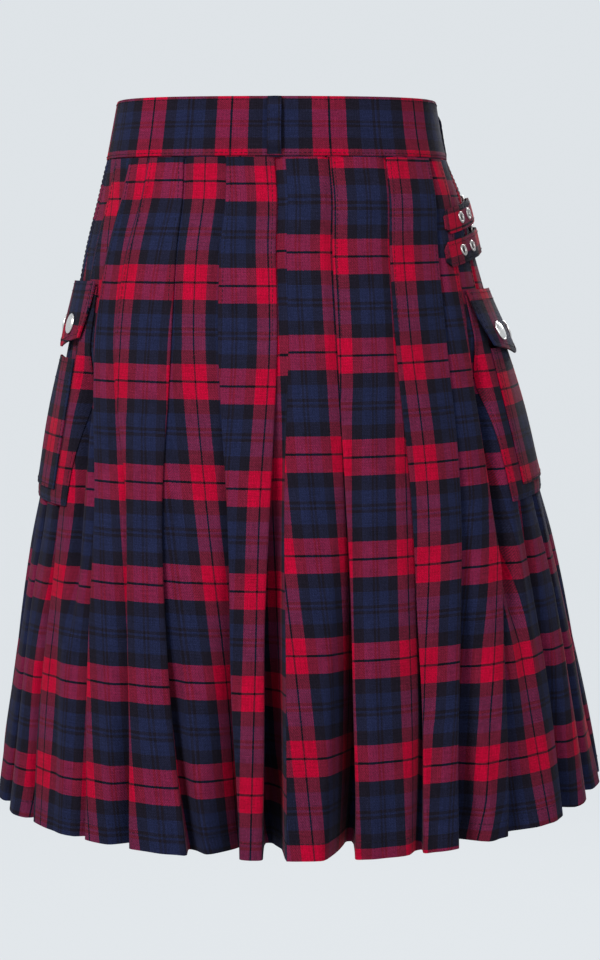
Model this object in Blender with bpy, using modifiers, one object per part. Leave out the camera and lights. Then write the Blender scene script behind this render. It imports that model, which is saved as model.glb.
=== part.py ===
"""A knee-length utility kilt in its worn, hollow shape.

Metres, +Z up. The wearer faces +Y, so the pleated back faces -Y, and +X is the wearer's right.
The origin is the middle of the waist, half way up the waistband.

Every piece of cloth is placed by three numbers: how far round the ring it lies from the centre back
(positive towards the wearer's right), how far down from the waist seam, and how far out from the ring.
"""

import math

import bmesh
import bpy
import numpy as np
from mathutils import Matrix, Vector

MM = 0.001

# ---------------------------------------------------------------- driving sizes

BAND_HEIGHT = 0.0495
SKIRT_DROP = 0.553          # waist seam to hem at the centre back
HIP_DROP = 0.155            # the pleats are sewn flat down to here
CLOTH = 0.0012              # wall of the skirt
BAND_CLOTH = 0.0022         # wall of the doubled waistband
SEAM_GAP = 0.0003           # between two pieces that are sewn together
BAND_SEAM_GAP = 0.0008      # between the waistband and what hangs from it
SEAT_GAP = 0.0005           # between the ring and a piece that lies on it
LAYER = 0.0020              # from one layer of a flat pleat to the next
APRON_LIFT = 0.0026         # the over apron's distance from what it covers

# The ring at each drop: half the width, the depths of its back and front halves, how far the
# whole ring has swung towards +X, and the exponent that squares its corners (2 is an ellipse).
SECTION_COLUMNS = ("drop", "half_width", "back", "front", "swing", "squareness")
SECTIONS = (
    (-0.051, 0.1345, 0.1030, 0.1030, 0.0000, 2.50),
    (0.000, 0.1440, 0.1085, 0.1065, 0.0000, 2.45),
    (0.034, 0.1541, 0.1178, 0.1108, 0.0025, 2.40),
    (0.079, 0.1640, 0.1300, 0.1163, 0.0021, 2.33),
    (0.115, 0.1718, 0.1397, 0.1205, 0.0036, 2.27),
    (0.155, 0.1808, 0.1500, 0.1250, 0.0055, 2.20),
    (0.278, 0.2078, 0.1740, 0.1400, 0.0105, 2.10),
    (0.416, 0.2328, 0.1980, 0.1550, 0.0150, 2.05),
    (0.553, 0.2538, 0.2150, 0.1680, 0.0188, 2.00),
)

# Heights of the waist seam and of the hem. Both dip towards the centre back and the centre front.
SEAM_SIDE_Z = -0.0172
SEAM_DIP = 0.0098
HEM_SIDE_Z = -0.5460
HEM_DIP_BACK = 0.0340
HEM_DIP_FRONT = 0.0260
HEM_RISE_RIGHT = 0.0110     # the hem hangs this much higher at the wearer's right side
RECESS_LIFT = 0.07          # cloth drawn into a fold hangs this share of its depth higher

# The drops that the columns of positions below stand for.
LEVELS = (0.000, 0.155, 0.278, 0.416, 0.553)

# The pleats, from the wearer's left to the right, in millimetres. The first five columns are where
# the fold's outer edge lies round the ring at the five levels. lean is +1 where the cloth on the
# left lies over the cloth on the right, -1 where the right lies over the left. tuck is how far the
# cloth runs back under the fold; a negative tuck has opened into a soft ridge. run is how far the
# covered side slopes at the hem before it reaches the ring, shoulder how far in that slope starts,
# and depth how deep the fold is at the hem.
PLEAT_COLUMNS = ("name", "seam", "hip", "mid", "low", "hem", "lean",
                 "tuck_seam", "tuck_hip", "tuck_hem", "run", "shoulder", "depth")
LEFT_PLEATS = (
    ("left_front", -232, -308, -355, -400, -442, -1, 9, 13, 9, 20, 0, 40),
    ("left_fore", -211, -277, -315, -350, -392, -1, 9, 13, 9, 20, 0, 45),
    ("left_side", -191, -248, -278, -308, -340, -1, 9, 13, 9, 20, 0, 45),
    ("left_hip", -172, -222, -245, -270, -290, -1, 8, 11, 9, 18, 0, 52),
    ("left_pocket", -151, -197, -213, -230, -243, -1, 9, 11, 10, 18, 0, 48),
    ("left_shallow", -129, -172, -169, -175, -175, -1, 9, 12, 4, 10, 0, 10),
    ("left_outer", -107, -146, -137, -136, -137, -1, 12, 22, 8, 18, 0, 30),
    ("left_ridge", -76, -91, -102, -101, -89, 1, 12, 24, -14, 6, 30, 34),
    ("left_back", -40, -51, -49, -49, -47, -1, 14, 19, 8, 10, 36, 62),
    ("centre", -3, -6, -15, -23, -27, 1, 15, 20, 7, 16, 0, 60),
)
RIGHT_PLEATS = (
    ("right_back", 44, 44, 45, 46, 43, -1, 26, 32, 12, 24, 0, 64),
    ("right_inner", 92, 93, 99, 101, 99, -1, 18, 20, 6, 12, 0, 14),
    ("right_outer", 139, 142, 146, 136, 129, 1, 18, 21, 8, 26, 0, 46),
    ("right_shallow", 160, 168, 174, 174, 172, 1, 8, 11, -8, 24, 0, 14),
    ("right_pocket", 180, 200, 210, 226, 238, 1, 8, 12, 9, 18, 0, 52),
    ("right_hip", 200, 230, 243, 264, 281, 1, 9, 13, 9, 18, 0, 52),
    ("right_side", 219, 260, 281, 308, 334, 1, 8, 13, 9, 20, 0, 45),
    ("right_fore", 239, 291, 318, 353, 387, 1, 8, 13, 9, 20, 0, 45),
)

# Where the pleated lengths end, in millimetres round the ring at the five levels.
CENTRE_SEAM = (8, 5, -3, -6, -9)
APRON_SEAM = (262, 346, 395, 447, 487)
OVER_APRON_EDGE = (250, 330, 376, 426, 465)
UNDER_APRON_EDGE = (296, 384, 436, 490, 530)

RISE = 8.0                  # in the sewn part a covered face comes out to the ring in this run
TOE = 1.5                   # and starts this far from the edge that covers it
TOE_STEP = 1.0              # or this far past the valley, where a fold has opened
END_STEP = 4.0              # the shortest run from there to the end of the covered side
VALLEY_ROUND = 4.0          # half width of an open valley at the hem

UPPER_ROWS = 5              # rows of points down the sewn part of the skirt
LOWER_ROWS = 8              # and down its open part
RING_STEPS = 1440


# ---------------------------------------------------------------- the ring

def smooth_read(places, values, place):
    """Reads a column at any place, on a smooth curve through its values."""
    places = np.asarray(places, float)
    values = np.asarray(values, float)
    slopes = np.gradient(values, places)
    place = min(max(place, places[0]), places[-1])
    i = int(np.clip(np.searchsorted(places, place) - 1, 0, len(places) - 2))
    width = places[i + 1] - places[i]
    t = (place - places[i]) / width
    return ((2 * t**3 - 3 * t**2 + 1) * values[i] + (t**3 - 2 * t**2 + t) * width * slopes[i]
            + (3 * t**2 - 2 * t**3) * values[i + 1] + (t**3 - t**2) * width * slopes[i + 1])


def at_level(columns, drop):
    """A position given at the five levels, read at a drop, in metres."""
    return smooth_read(LEVELS, columns, drop) * MM


RINGS = {}


def ring(drop):
    """The ring at a drop: turn angles, distances round it, plan points and outward normals."""
    key = round(drop, 6)
    if key in RINGS:
        return RINGS[key]
    drops = [row[0] for row in SECTIONS]
    half_width, back, front, swing, squareness = (
        smooth_read(drops, [row[i] for row in SECTIONS], drop) for i in range(1, 6))
    turn = np.linspace(-math.pi, math.pi, RING_STEPS + 1)
    power = 2.0 / squareness
    sine, cosine = np.sin(turn), np.cos(turn)
    depth = np.where(cosine >= 0, back, front)
    points = np.column_stack((
        swing + half_width * np.sign(sine) * np.abs(sine)**power,
        -depth * np.sign(cosine) * np.abs(cosine)**power))
    steps = np.hypot(*np.diff(points, axis=0).T)
    along = np.concatenate(([0.0], np.cumsum(steps)))
    along -= np.interp(0.0, turn, along)
    tangent = np.roll(points[:-1], -3, axis=0) - np.roll(points[:-1], 3, axis=0)
    tangent = np.vstack((tangent, tangent[:1]))
    tangent /= np.linalg.norm(tangent, axis=1)[:, None]
    normals = np.column_stack((tangent[:, 1], -tangent[:, 0]))
    RINGS[key] = (turn, along, points, normals)
    return RINGS[key]


def half_round(drop):
    """Half the ring's length."""
    along = ring(drop)[1]
    return (along[-1] - along[0]) / 2


def place(around, drop, out):
    """The point that lies around the ring, down from the waist seam and out from the ring."""
    turn, along, points, normals = ring(drop)
    length = along[-1] - along[0]
    around = (around - along[0]) % length + along[0]
    plan = [np.interp(around, along, points[:, i]) + out * np.interp(around, along, normals[:, i])
            for i in range(2)]
    angle = np.interp(around, along, turn)
    facing = math.cos(angle)
    seam_z = SEAM_SIDE_Z - SEAM_DIP * abs(facing)
    hem_z = HEM_SIDE_Z - (HEM_DIP_BACK if facing > 0 else HEM_DIP_FRONT) * abs(facing)
    hem_z += HEM_RISE_RIGHT * max(0.0, math.sin(angle))**3
    if drop >= 0:
        height = seam_z + (hem_z - seam_z) * drop / SKIRT_DROP
    else:
        height = seam_z - drop
    recess = max(0.0, -out) * RECESS_LIFT * max(0.0, drop) / SKIRT_DROP
    return Vector((plan[0], plan[1], height + recess))


# ---------------------------------------------------------------- the pleats

def pleat_at(row, drop):
    """A pleat's sizes at a drop, in metres."""
    pleat = dict(zip(PLEAT_COLUMNS, row))
    edge = at_level([pleat[c] for c in ("seam", "hip", "mid", "low", "hem")], drop)
    sewn = min(drop / HIP_DROP, 1.0)
    free = max(0.0, (drop - HIP_DROP) / (SKIRT_DROP - HIP_DROP))
    tuck = pleat["tuck_seam"] + (pleat["tuck_hip"] - pleat["tuck_seam"]) * sewn
    tuck += (pleat["tuck_hem"] - pleat["tuck_hip"]) * free
    opening = free**1.3
    flat = 2 * LAYER / MM
    return {
        "edge": edge, "lean": pleat["lean"], "tuck": tuck * MM,
        "depth": (flat + (pleat["depth"] - flat) * opening) * MM,
        "run": (RISE + (pleat["run"] - RISE) * opening) * MM,
        "shoulder": pleat["shoulder"] * opening * MM,
        "round": VALLEY_ROUND * opening * MM,
        "folded": max(-1.0, min(1.0, tuck / 6.0)),
    }


def fold_points(row, drop):
    """The plan points of one fold as (around, out) pairs, from the covering face to the covered one."""
    p = pleat_at(row, drop)
    edge, lean, tuck, half = p["edge"], p["lean"], p["tuck"], LAYER / 2
    folded = p["folded"]
    valley = tuck - half - 2 * p["round"]
    toe = min(-TOE * MM, valley - TOE_STEP * MM)
    end = min(-p["run"] + min(0.0, tuck), toe - END_STEP * MM)
    toe_depth = p["shoulder"] + (p["depth"] - p["shoulder"]) * (toe - end) / (valley - end)
    toe_depth = min(max(toe_depth, 2 * LAYER), p["depth"])
    steps = [
        (half, 0.0),
        (half * (1 - folded) * 0.5, -LAYER),
        (tuck - half, -p["depth"] + LAYER),
        (valley, -p["depth"]),
        (toe, -toe_depth),
        (end, -p["shoulder"]),
    ]
    points = [(edge - lean * step, out) for step, out in steps]
    return points if lean > 0 else points[::-1]


def pleated_section(pleats, start, finish, drop):
    """The plan of a pleated length at a drop: (around, out) pairs from start to finish."""
    line = [(start, 0.0)]
    for row in pleats:
        points = fold_points(row, drop)
        last, first = line[-1], points[0]
        line.append(((last[0] + first[0]) / 2, (last[1] + first[1]) / 2))
        line += points
    last = line[-1]
    line.append(((last[0] + finish) / 2, last[1] / 2))
    line.append((finish, 0.0))
    return line


# ---------------------------------------------------------------- making solids

COLLECTION = "utility_kilt"
CUTTERS = "utility_kilt_cutters"

FINISHES = {
    "tartan": ((0.23, 0.03, 0.07, 1.0), 0.92, 0.0),
    "band": ((0.20, 0.03, 0.06, 1.0), 0.92, 0.0),
    "trim": ((0.03, 0.03, 0.06, 1.0), 0.92, 0.0),
    "snap": ((0.78, 0.78, 0.76, 1.0), 0.22, 1.0),
    "steel": ((0.62, 0.61, 0.60, 1.0), 0.28, 1.0),
}


def clear_scene():
    for thing in list(bpy.data.objects):
        bpy.data.objects.remove(thing, do_unlink=True)


def make_collection(name):
    collection = bpy.data.collections.new(name)
    bpy.context.scene.collection.children.link(collection)
    return collection


def finish_material(name):
    if name in bpy.data.materials:
        return bpy.data.materials[name]
    colour, roughness, metallic = FINISHES[name]
    material = bpy.data.materials.new(name)
    material.use_nodes = True
    shader = material.node_tree.nodes["Principled BSDF"]
    shader.inputs["Base Color"].default_value = colour
    shader.inputs["Roughness"].default_value = roughness
    shader.inputs["Metallic"].default_value = metallic
    return material


def add_mesh(name, mesh, finish):
    part = bpy.data.objects.new(name, mesh)
    bpy.data.collections[COLLECTION].objects.link(part)
    mesh.materials.append(finish_material(finish))
    return part


def thicken(part, thickness):
    """A Solidify modifier that gives a sheet its wall, half on each side."""
    wall = part.modifiers.new("wall", "SOLIDIFY")
    wall.thickness = thickness
    wall.offset = 0.0
    wall.use_even_offset = True
    wall.use_rim = True
    return wall


def sheet(name, rows, finish, thickness, closed_rows=False):
    """A sheet of cloth lofted through rows of points, made into a wall.

    rows run downwards, and each row runs the same way round, so the faces point outwards.
    """
    shape = bmesh.new()
    grid = [[shape.verts.new(point) for point in row] for row in rows]
    for upper, lower in zip(grid, grid[1:]):
        count = len(upper) if closed_rows else len(upper) - 1
        for i in range(count):
            j = (i + 1) % len(upper)
            shape.faces.new((upper[i], lower[i], lower[j], upper[j]))
    mesh = bpy.data.meshes.new(name)
    shape.to_mesh(mesh)
    shape.free()
    part = add_mesh(name, mesh, finish)
    thicken(part, thickness)
    return part


def spread(first, last, count):
    """count values from first to last, evenly spaced."""
    return [first + (last - first) * i / (count - 1) for i in range(count)]


# ---------------------------------------------------------------- skirt and aprons

def skirt_drops():
    """Rows of the skirt: the first lies just under the waistband, the last is the hem."""
    return spread(BAND_SEAM_GAP, HIP_DROP, UPPER_ROWS) + spread(HIP_DROP, SKIRT_DROP, LOWER_ROWS)[1:]


def make_skirt_left():
    rows = []
    for drop in skirt_drops():
        start = -at_level(APRON_SEAM, drop) + SEAM_GAP / 2
        finish = at_level(CENTRE_SEAM, drop) - SEAM_GAP / 2
        line = pleated_section(LEFT_PLEATS, start, finish, drop)
        rows.append([place(around, drop, out) for around, out in line])
    return sheet("skirt_left", rows, "tartan", CLOTH)


def make_skirt_right():
    rows = []
    for drop in skirt_drops():
        start = at_level(CENTRE_SEAM, drop) + SEAM_GAP / 2
        finish = at_level(APRON_SEAM, drop) - SEAM_GAP / 2
        line = pleated_section(RIGHT_PLEATS, start, finish, drop)
        rows.append([place(around, drop, out) for around, out in line])
    return sheet("skirt_right", rows, "tartan", CLOTH)


APRON_COLUMNS = 21
APRON_CLIMB = 0.08          # the over apron reaches its full lift in this share of its width


def over_apron_lift(share):
    """How far the over apron stands out, from its seam (0) to its free edge (1)."""
    return APRON_LIFT * min(1.0, share / APRON_CLIMB)


def make_over_apron():
    rows = []
    for drop in skirt_drops():
        first = -at_level(APRON_SEAM, drop) - SEAM_GAP / 2
        last = at_level(OVER_APRON_EDGE, drop) - 2 * half_round(drop)
        shares = [0.0, APRON_CLIMB / 2] + spread(APRON_CLIMB, 1.0, APRON_COLUMNS - 2)
        line = [(first + (last - first) * share, over_apron_lift(share)) for share in shares]
        rows.append([place(around, drop, out) for around, out in reversed(line)])
    return sheet("over_apron", rows, "tartan", CLOTH)


def make_under_apron():
    rows = []
    for drop in skirt_drops():
        first = at_level(APRON_SEAM, drop) + SEAM_GAP / 2
        last = 2 * half_round(drop) - at_level(UNDER_APRON_EDGE, drop)
        rows.append([place(around, drop, 0.0) for around in spread(first, last, APRON_COLUMNS - 3)])
    return sheet("under_apron", rows, "tartan", CLOTH)


# ---------------------------------------------------------------- waistband

BAND_COLUMNS = 86
LAP_RUN = 0.028             # the band's outer end climbs over its inner end in this run


def make_waistband():
    """One strip: it starts over the under apron, goes round the back and laps over itself in front."""
    whole = 2 * half_round(0.0)
    inner_end = whole - at_level(UNDER_APRON_EDGE, 0.0)
    free_edge = at_level(OVER_APRON_EDGE, 0.0) - whole
    line = []
    for around in spread(free_edge, inner_end, BAND_COLUMNS):
        past_seam = -at_level(APRON_SEAM, 0.0) - around
        line.append((around, APRON_LIFT * min(1.0, max(0.0, past_seam / LAP_RUN))))
    rows = []
    for drop in spread(-BAND_HEIGHT, 0.0, 3):
        scale = half_round(drop) / half_round(0.0)
        rows.append([place(around * scale, drop, out) for around, out in line])
    return sheet("waistband", rows, "band", BAND_CLOTH)


# ---------------------------------------------------------------- belt loops

LOOP_WIDTH = 0.011
LOOP_CLOTH = 0.0016
LOOP_STAND = 0.0030         # free space behind a loop that no belt fills
LOOP_PLACES = {"back": -0.0010, "left": -0.2380, "right": 0.2320}     # round the waist seam
LOOP_COLUMNS = ("drop", "stand")    # stand is the share of LOOP_STAND
LOOP_LINE = (
    (-0.0490, 0.0), (-0.0450, 0.0), (-0.0425, 0.5), (-0.0400, 1.0), (-0.0300, 1.0),
    (-0.0190, 1.0), (-0.0090, 1.0), (-0.0065, 0.5), (-0.0040, 0.0), (-0.0005, 0.0),
)


def make_belt_loop(name, around):
    base = BAND_CLOTH / 2 + SEAM_GAP + LOOP_CLOTH / 2
    rows = []
    for drop, stand in LOOP_LINE:
        scale = half_round(drop) / half_round(0.0)
        rows.append([place(around * scale + side, drop, base + LOOP_STAND * stand)
                     for side in spread(-LOOP_WIDTH / 2, LOOP_WIDTH / 2, 3)])
    return sheet("belt_loop_" + name, rows, "trim", LOOP_CLOTH)


# ---------------------------------------------------------------- pockets

POCKET_REAR = (146, 176, 202, 226, 250)     # round the ring at the five levels, on either side
POCKET_FRONT = (262, 306, 338, 372, 405)
POCKET_CLOTH = 0.0012
POCKET_BOTTOM = 0.2940
POCKET_MOUTH = 0.1720
POCKET_STAND = 0.0048       # the front panel's distance from the ring
GUSSET_WIDTH = 0.0180
GUSSET_BOTTOM_WIDTH = 0.0120
GUSSET_START = 0.0040       # the strip starts this far below the flap's seam
GUSSET_SEAT = CLOTH / 2 + SEAT_GAP + POCKET_CLOTH / 2 + SEAM_GAP
GUSSET_RISE = POCKET_STAND - POCKET_CLOTH - SEAM_GAP - GUSSET_SEAT
GUSSET_TOP_SHARE = 0.25     # the share of its rise that the strip has at its upper end
FLAP_CLOTH = 0.0016
FLAP_SIDE = 0.0480          # length of the flap at its sides
FLAP_POINT = 0.0100         # how much further its middle reaches
FLAP_TAPER = 0.0110         # each side runs in by this much at the lower edge
FLAP_REACH = 0.8            # the flap clears the front panel from this share of its length down
FLAP_CLEAR = 0.0006
SNAP_RADIUS = 0.0085
SNAP_HEIGHT = 0.0030
SNAP_INSET = 0.0260         # from the flap's side edge
SNAP_ABOVE_EDGE = 0.0150
SNAP_SEAT_GAP = 0.0004
SNAP_COLUMNS = ("radius", "height")     # shares of the snap's radius and height
SNAP_PROFILE = ((0.0, 1.0), (0.45, 0.93), (0.80, 0.66), (0.97, 0.30), (1.0, 0.12), (0.97, 0.0), (0.0, 0.0))
POCKET_SIDES = {            # which way round, the flap's top, and how far its lower edge flares out
    "left": (-1, 0.1060, 0.0000),
    "right": (1, 0.1150, 0.0090),
}


def pocket_around(side, drop, across):
    """The place round the ring of a point on a pocket, across it from its rear edge (0) to its front (1)."""
    rear, front = at_level(POCKET_REAR, drop), at_level(POCKET_FRONT, drop)
    return side * (rear + (front - rear) * across)


def in_order(side, line):
    """Points run from the rear edge forwards, which is the other way round the ring on the left."""
    return line if side > 0 else line[::-1]


def make_pocket_gusset(name):
    """A folded strip that slopes from the skirt up to the front panel, down one side and up the other."""
    side, flap_top, _ = POCKET_SIDES[name]
    width = at_level(POCKET_FRONT, POCKET_MOUTH) - at_level(POCKET_REAR, POCKET_MOUTH)
    inner = GUSSET_WIDTH / width
    top = flap_top + GUSSET_START
    bottom = POCKET_BOTTOM
    inner_bottom = bottom - GUSSET_BOTTOM_WIDTH
    down = spread(0.0, 1.0, 8)
    outer_path = [(0.0, top + (bottom - top) * t) for t in down]
    inner_path = [(inner, top + (inner_bottom - top) * t) for t in down]
    for t in spread(0.0, 1.0, 9)[1:-1]:
        outer_path.append((t, bottom))
        inner_path.append((inner + (1 - 2 * inner) * t, inner_bottom))
    outer_path += [(1.0, drop) for _, drop in reversed(outer_path[:8])]
    inner_path += [(1.0 - inner, drop) for _, drop in reversed(inner_path[:8])]
    rows = []
    for share in (0.0, 0.25, 0.65, 1.0):
        row = []
        for (outer_x, outer_drop), (inner_x, inner_drop) in zip(outer_path, inner_path):
            across = outer_x + (inner_x - outer_x) * share
            drop = outer_drop + (inner_drop - outer_drop) * share
            filled = min(1.0, max(0.0, (inner_drop - top) / (POCKET_MOUTH - top)))
            rise = GUSSET_RISE * (GUSSET_TOP_SHARE + (1 - GUSSET_TOP_SHARE) * filled)
            row.append(place(pocket_around(side, drop, across), drop, GUSSET_SEAT + rise * share))
        rows.append(row)
    if side > 0:
        rows = rows[::-1]
    return sheet("pocket_" + name + "_gusset", rows, "tartan", POCKET_CLOTH)


def make_pocket_front(name):
    side = POCKET_SIDES[name][0]
    width = at_level(POCKET_FRONT, POCKET_MOUTH) - at_level(POCKET_REAR, POCKET_MOUTH)
    inner = GUSSET_WIDTH / width
    bottom = POCKET_BOTTOM - GUSSET_BOTTOM_WIDTH
    rows = []
    for drop in spread(POCKET_MOUTH, bottom, 7):
        line = []
        for across in spread(inner, 1 - inner, 9):
            line.append(place(pocket_around(side, drop, across), drop, POCKET_STAND))
        rows.append(in_order(side, line))
    return sheet("pocket_" + name + "_front", rows, "tartan", POCKET_CLOTH)


def flap_point(name, across, down):
    """A point on a flap, across from its rear (0) to its front (1), down from its seam (0) to its edge (1)."""
    side, top, flare = POCKET_SIDES[name]
    length = FLAP_SIDE + FLAP_POINT * (1 - abs(2 * across - 1))
    drop = top + length * down
    rear, front = at_level(POCKET_REAR, top), at_level(POCKET_FRONT, top)
    taper = FLAP_TAPER * down**2
    around = rear + taper + (front - rear - 2 * taper) * across
    around += at_level(POCKET_REAR, drop) - rear
    seat = GUSSET_SEAT + GUSSET_RISE * GUSSET_TOP_SHARE + (POCKET_CLOTH + FLAP_CLOTH) / 2 + 2 * SEAM_GAP
    clear = POCKET_STAND + POCKET_CLOTH / 2 + FLAP_CLOTH / 2 + FLAP_CLEAR
    rise = min(1.0, down / FLAP_REACH)
    out = seat + (clear - seat) * rise + flare * down**1.4
    return side * around, drop, out


def make_pocket_flap(name):
    side = POCKET_SIDES[name][0]
    rows = []
    for down in spread(0.0, 1.0, 6):
        line = [place(*flap_point(name, across, down)) for across in spread(0.0, 1.0, 9)]
        rows.append(in_order(side, line))
    return sheet("pocket_" + name + "_flap", rows, "tartan", FLAP_CLOTH)


def facing_matrix(around, drop, out, slope):
    """A frame on cloth that leans out by a slope: local Z looks out of it, local X runs round the ring."""
    small = 0.002
    lean = slope * small
    centre = place(around, drop, out)
    along = place(around + small, drop, out) - place(around - small, drop, out)
    down = place(around, drop + small, out + lean) - place(around, drop - small, out - lean)
    along.normalize()
    normal = down.cross(along).normalized()
    down = along.cross(normal)
    turn = Matrix((along, -down, normal)).transposed().to_4x4()
    return Matrix.Translation(centre) @ turn


def make_snap(name, end):
    side, top, flare = POCKET_SIDES[name]
    width = at_level(POCKET_FRONT, top) - at_level(POCKET_REAR, top)
    across = SNAP_INSET / width
    if end == "front":
        across = 1 - across
    length = FLAP_SIDE + FLAP_POINT * (1 - abs(2 * across - 1))
    down = 1 - SNAP_ABOVE_EDGE / length
    around, drop, out = flap_point(name, across, down)
    _, lower_drop, lower_out = flap_point(name, across, down + 0.1)
    slope = (lower_out - out) / (lower_drop - drop)
    seat = facing_matrix(around, drop, out, slope)
    lift = FLAP_CLOTH / 2 + SNAP_SEAT_GAP
    shape = bmesh.new()
    verts = [shape.verts.new((radius * SNAP_RADIUS, 0.0, height * SNAP_HEIGHT))
             for radius, height in SNAP_PROFILE]
    edges = [shape.edges.new(pair) for pair in zip(verts, verts[1:])]
    bmesh.ops.spin(shape, geom=verts + edges, cent=(0, 0, 0), axis=(0, 0, 1), angle=2 * math.pi, steps=16,
                   use_merge=True, use_duplicate=False)
    bmesh.ops.remove_doubles(shape, verts=shape.verts, dist=0.00001)
    bmesh.ops.recalc_face_normals(shape, faces=shape.faces)
    bmesh.ops.transform(shape, matrix=seat @ Matrix.Translation((0, 0, lift)), verts=shape.verts)
    mesh = bpy.data.meshes.new("pocket_snap")
    shape.to_mesh(mesh)
    shape.free()
    mesh.shade_smooth()
    return add_mesh("pocket_" + name + "_snap_" + end, mesh, "snap")


# ---------------------------------------------------------------- hip straps and buckles

STRAP_WIDTH = 0.022
STRAP_CLOTH = 0.0018
STRAP_TIP = 0.147           # round the ring, on the wearer's right
STRAP_ROOT = 0.310
STRAP_SLOPE = -0.17         # a strap climbs towards the front
STRAP_CHAMFER = 0.006       # length of the cut corners at its tip
CHAMFER_DEPTH = 0.0055
STRAP_STEP = 0.0075
STRAPS = {"upper": 0.0565, "lower": 0.0850}     # drop of the strap's tip

TAB_CLOTH = 0.0010
TAB_WIDTH = 0.016
TAB_END = 0.203
BAR = 0.229                 # the buckle's hinge bar, round the ring
RAIL = 0.251                # its far rail, which lies over the strap
WIRE = 0.0010
FRAME_HEIGHT = 0.0254
PRONG_WIRE = 0.0007
FRAME_CORNER = 0.0030
FRAME_BOW = 0.0015          # the frame's ends bow out over the strap by this much
HOLE_RADIUS = 0.0027
HOLE_DEPTH = 0.0080         # of the cutter that makes the hole
EYELET_RADIUS = 0.0039
EYELET_WIRE = 0.0011
EYELETS = {"tip": 0.1720, "middle": 0.1920, "pinned": 0.2405}

TAB_SEAT = CLOTH / 2 + SEAT_GAP + TAB_CLOTH / 2
BAR_OUT = TAB_SEAT + TAB_CLOTH / 2 + SEAM_GAP + WIRE
TAB_TOP = BAR_OUT + WIRE + SEAM_GAP + TAB_CLOTH / 2
TAB_BACK = TAB_SEAT + TAB_CLOTH + SEAM_GAP
STRAP_SEAT = CLOTH / 2 + SEAT_GAP + STRAP_CLOTH / 2
STRAP_OVER_TAB = TAB_BACK + TAB_CLOTH / 2 + SEAM_GAP + STRAP_CLOTH / 2
STRAP_OVER_BAR = TAB_TOP + TAB_CLOTH / 2 + SEAM_GAP + STRAP_CLOTH / 2
STRAP_ON_APRON = APRON_LIFT + CLOTH / 2 + SEAT_GAP + STRAP_CLOTH / 2
RAIL_OUT = STRAP_SEAT + 0.0006 + STRAP_CLOTH / 2 + 0.0004 + WIRE

# The strap's line from its tip to its root: the place round the ring and the distance out from it.
STRAP_LINE = (
    (STRAP_TIP, STRAP_SEAT), (0.1520, STRAP_SEAT), (0.1700, STRAP_SEAT + 0.0003), (0.1900, STRAP_SEAT + 0.0008),
    (0.1970, STRAP_OVER_TAB - 0.0008), (0.2010, STRAP_OVER_TAB), (0.2120, STRAP_OVER_TAB + 0.0002),
    (0.2200, STRAP_OVER_TAB + 0.0012), (0.2250, STRAP_OVER_BAR - 0.0002), (0.2300, STRAP_OVER_BAR + 0.0002),
    (0.2350, STRAP_OVER_BAR - 0.0010), (0.2420, STRAP_SEAT + 0.0016), (0.2470, STRAP_SEAT + 0.0004),
    (0.2530, STRAP_SEAT + 0.0004), (0.2590, STRAP_ON_APRON), (STRAP_ROOT, STRAP_ON_APRON),
)


def strap_drop(name, around):
    """The drop of a strap's middle line."""
    return STRAPS[name] + STRAP_SLOPE * (around - STRAP_TIP)


def strap_out(around):
    """A strap's distance from the ring, read between the points of its line."""
    return float(np.interp(around, [p[0] for p in STRAP_LINE], [p[1] for p in STRAP_LINE]))


def across_strap(name, around, out, side):
    """A point beside a strap's middle line, square to it within the cloth."""
    length = math.hypot(1.0, STRAP_SLOPE)
    return place(around - side * STRAP_SLOPE / length, strap_drop(name, around) + side / length, out)


def strip(name, strap, line, half_width, thickness, finish, rows=3):
    """A flat strip along a strap's middle line; half_width is a function of the place round the ring."""
    grid = []
    for share in spread(-1.0, 1.0, rows):
        grid.append([across_strap(strap, around, out, share * half_width(around)) for around, out in line])
    return sheet(name, grid, finish, thickness)


def subdivided(line, longest):
    """The same line with more points, so that none of its steps is longer than this."""
    result = [line[0]]
    for start, end in zip(line, line[1:]):
        count = max(1, math.ceil(abs(end[0] - start[0]) / longest))
        for i in range(1, count + 1):
            result.append(tuple(start[k] + (end[k] - start[k]) * i / count for k in range(2)))
    return result


def strap_half_width(around):
    chamfer = max(0.0, 1 - (around - STRAP_TIP) / STRAP_CHAMFER)
    return STRAP_WIDTH / 2 - CHAMFER_DEPTH * chamfer


def make_strap(name):
    line = subdivided(STRAP_LINE, STRAP_STEP)
    strap = strip("strap_" + name, name, line, strap_half_width, STRAP_CLOTH, "tartan")
    for label, around in EYELETS.items():
        cutter = make_hole_cutter(name, label, around)
        cut = strap.modifiers.new("hole_" + label, "BOOLEAN")
        cut.operation = "DIFFERENCE"
        cut.object = cutter
    return strap


def strap_frame(name, around):
    """A frame on a strap's middle line: local Z looks out, tilted as the strap is there."""
    small = 0.0015
    centre = across_strap(name, around, strap_out(around), 0.0)
    along = across_strap(name, around + small, strap_out(around + small), 0.0)
    along -= across_strap(name, around - small, strap_out(around - small), 0.0)
    down = across_strap(name, around, strap_out(around), small) - centre
    along.normalize()
    normal = down.cross(along).normalized()
    down = along.cross(normal)
    return Matrix.Translation(centre) @ Matrix((along, -down, normal)).transposed().to_4x4()


def make_hole_cutter(name, label, around):
    shape = bmesh.new()
    bmesh.ops.create_cone(shape, cap_ends=True, segments=12, radius1=HOLE_RADIUS, radius2=HOLE_RADIUS,
                          depth=HOLE_DEPTH, matrix=strap_frame(name, around))
    mesh = bpy.data.meshes.new("hole")
    shape.to_mesh(mesh)
    shape.free()
    cutter = bpy.data.objects.new("hole_" + name + "_" + label, mesh)
    bpy.data.collections[CUTTERS].objects.link(cutter)
    cutter.hide_render = True
    cutter.display_type = "WIRE"
    return cutter


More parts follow.
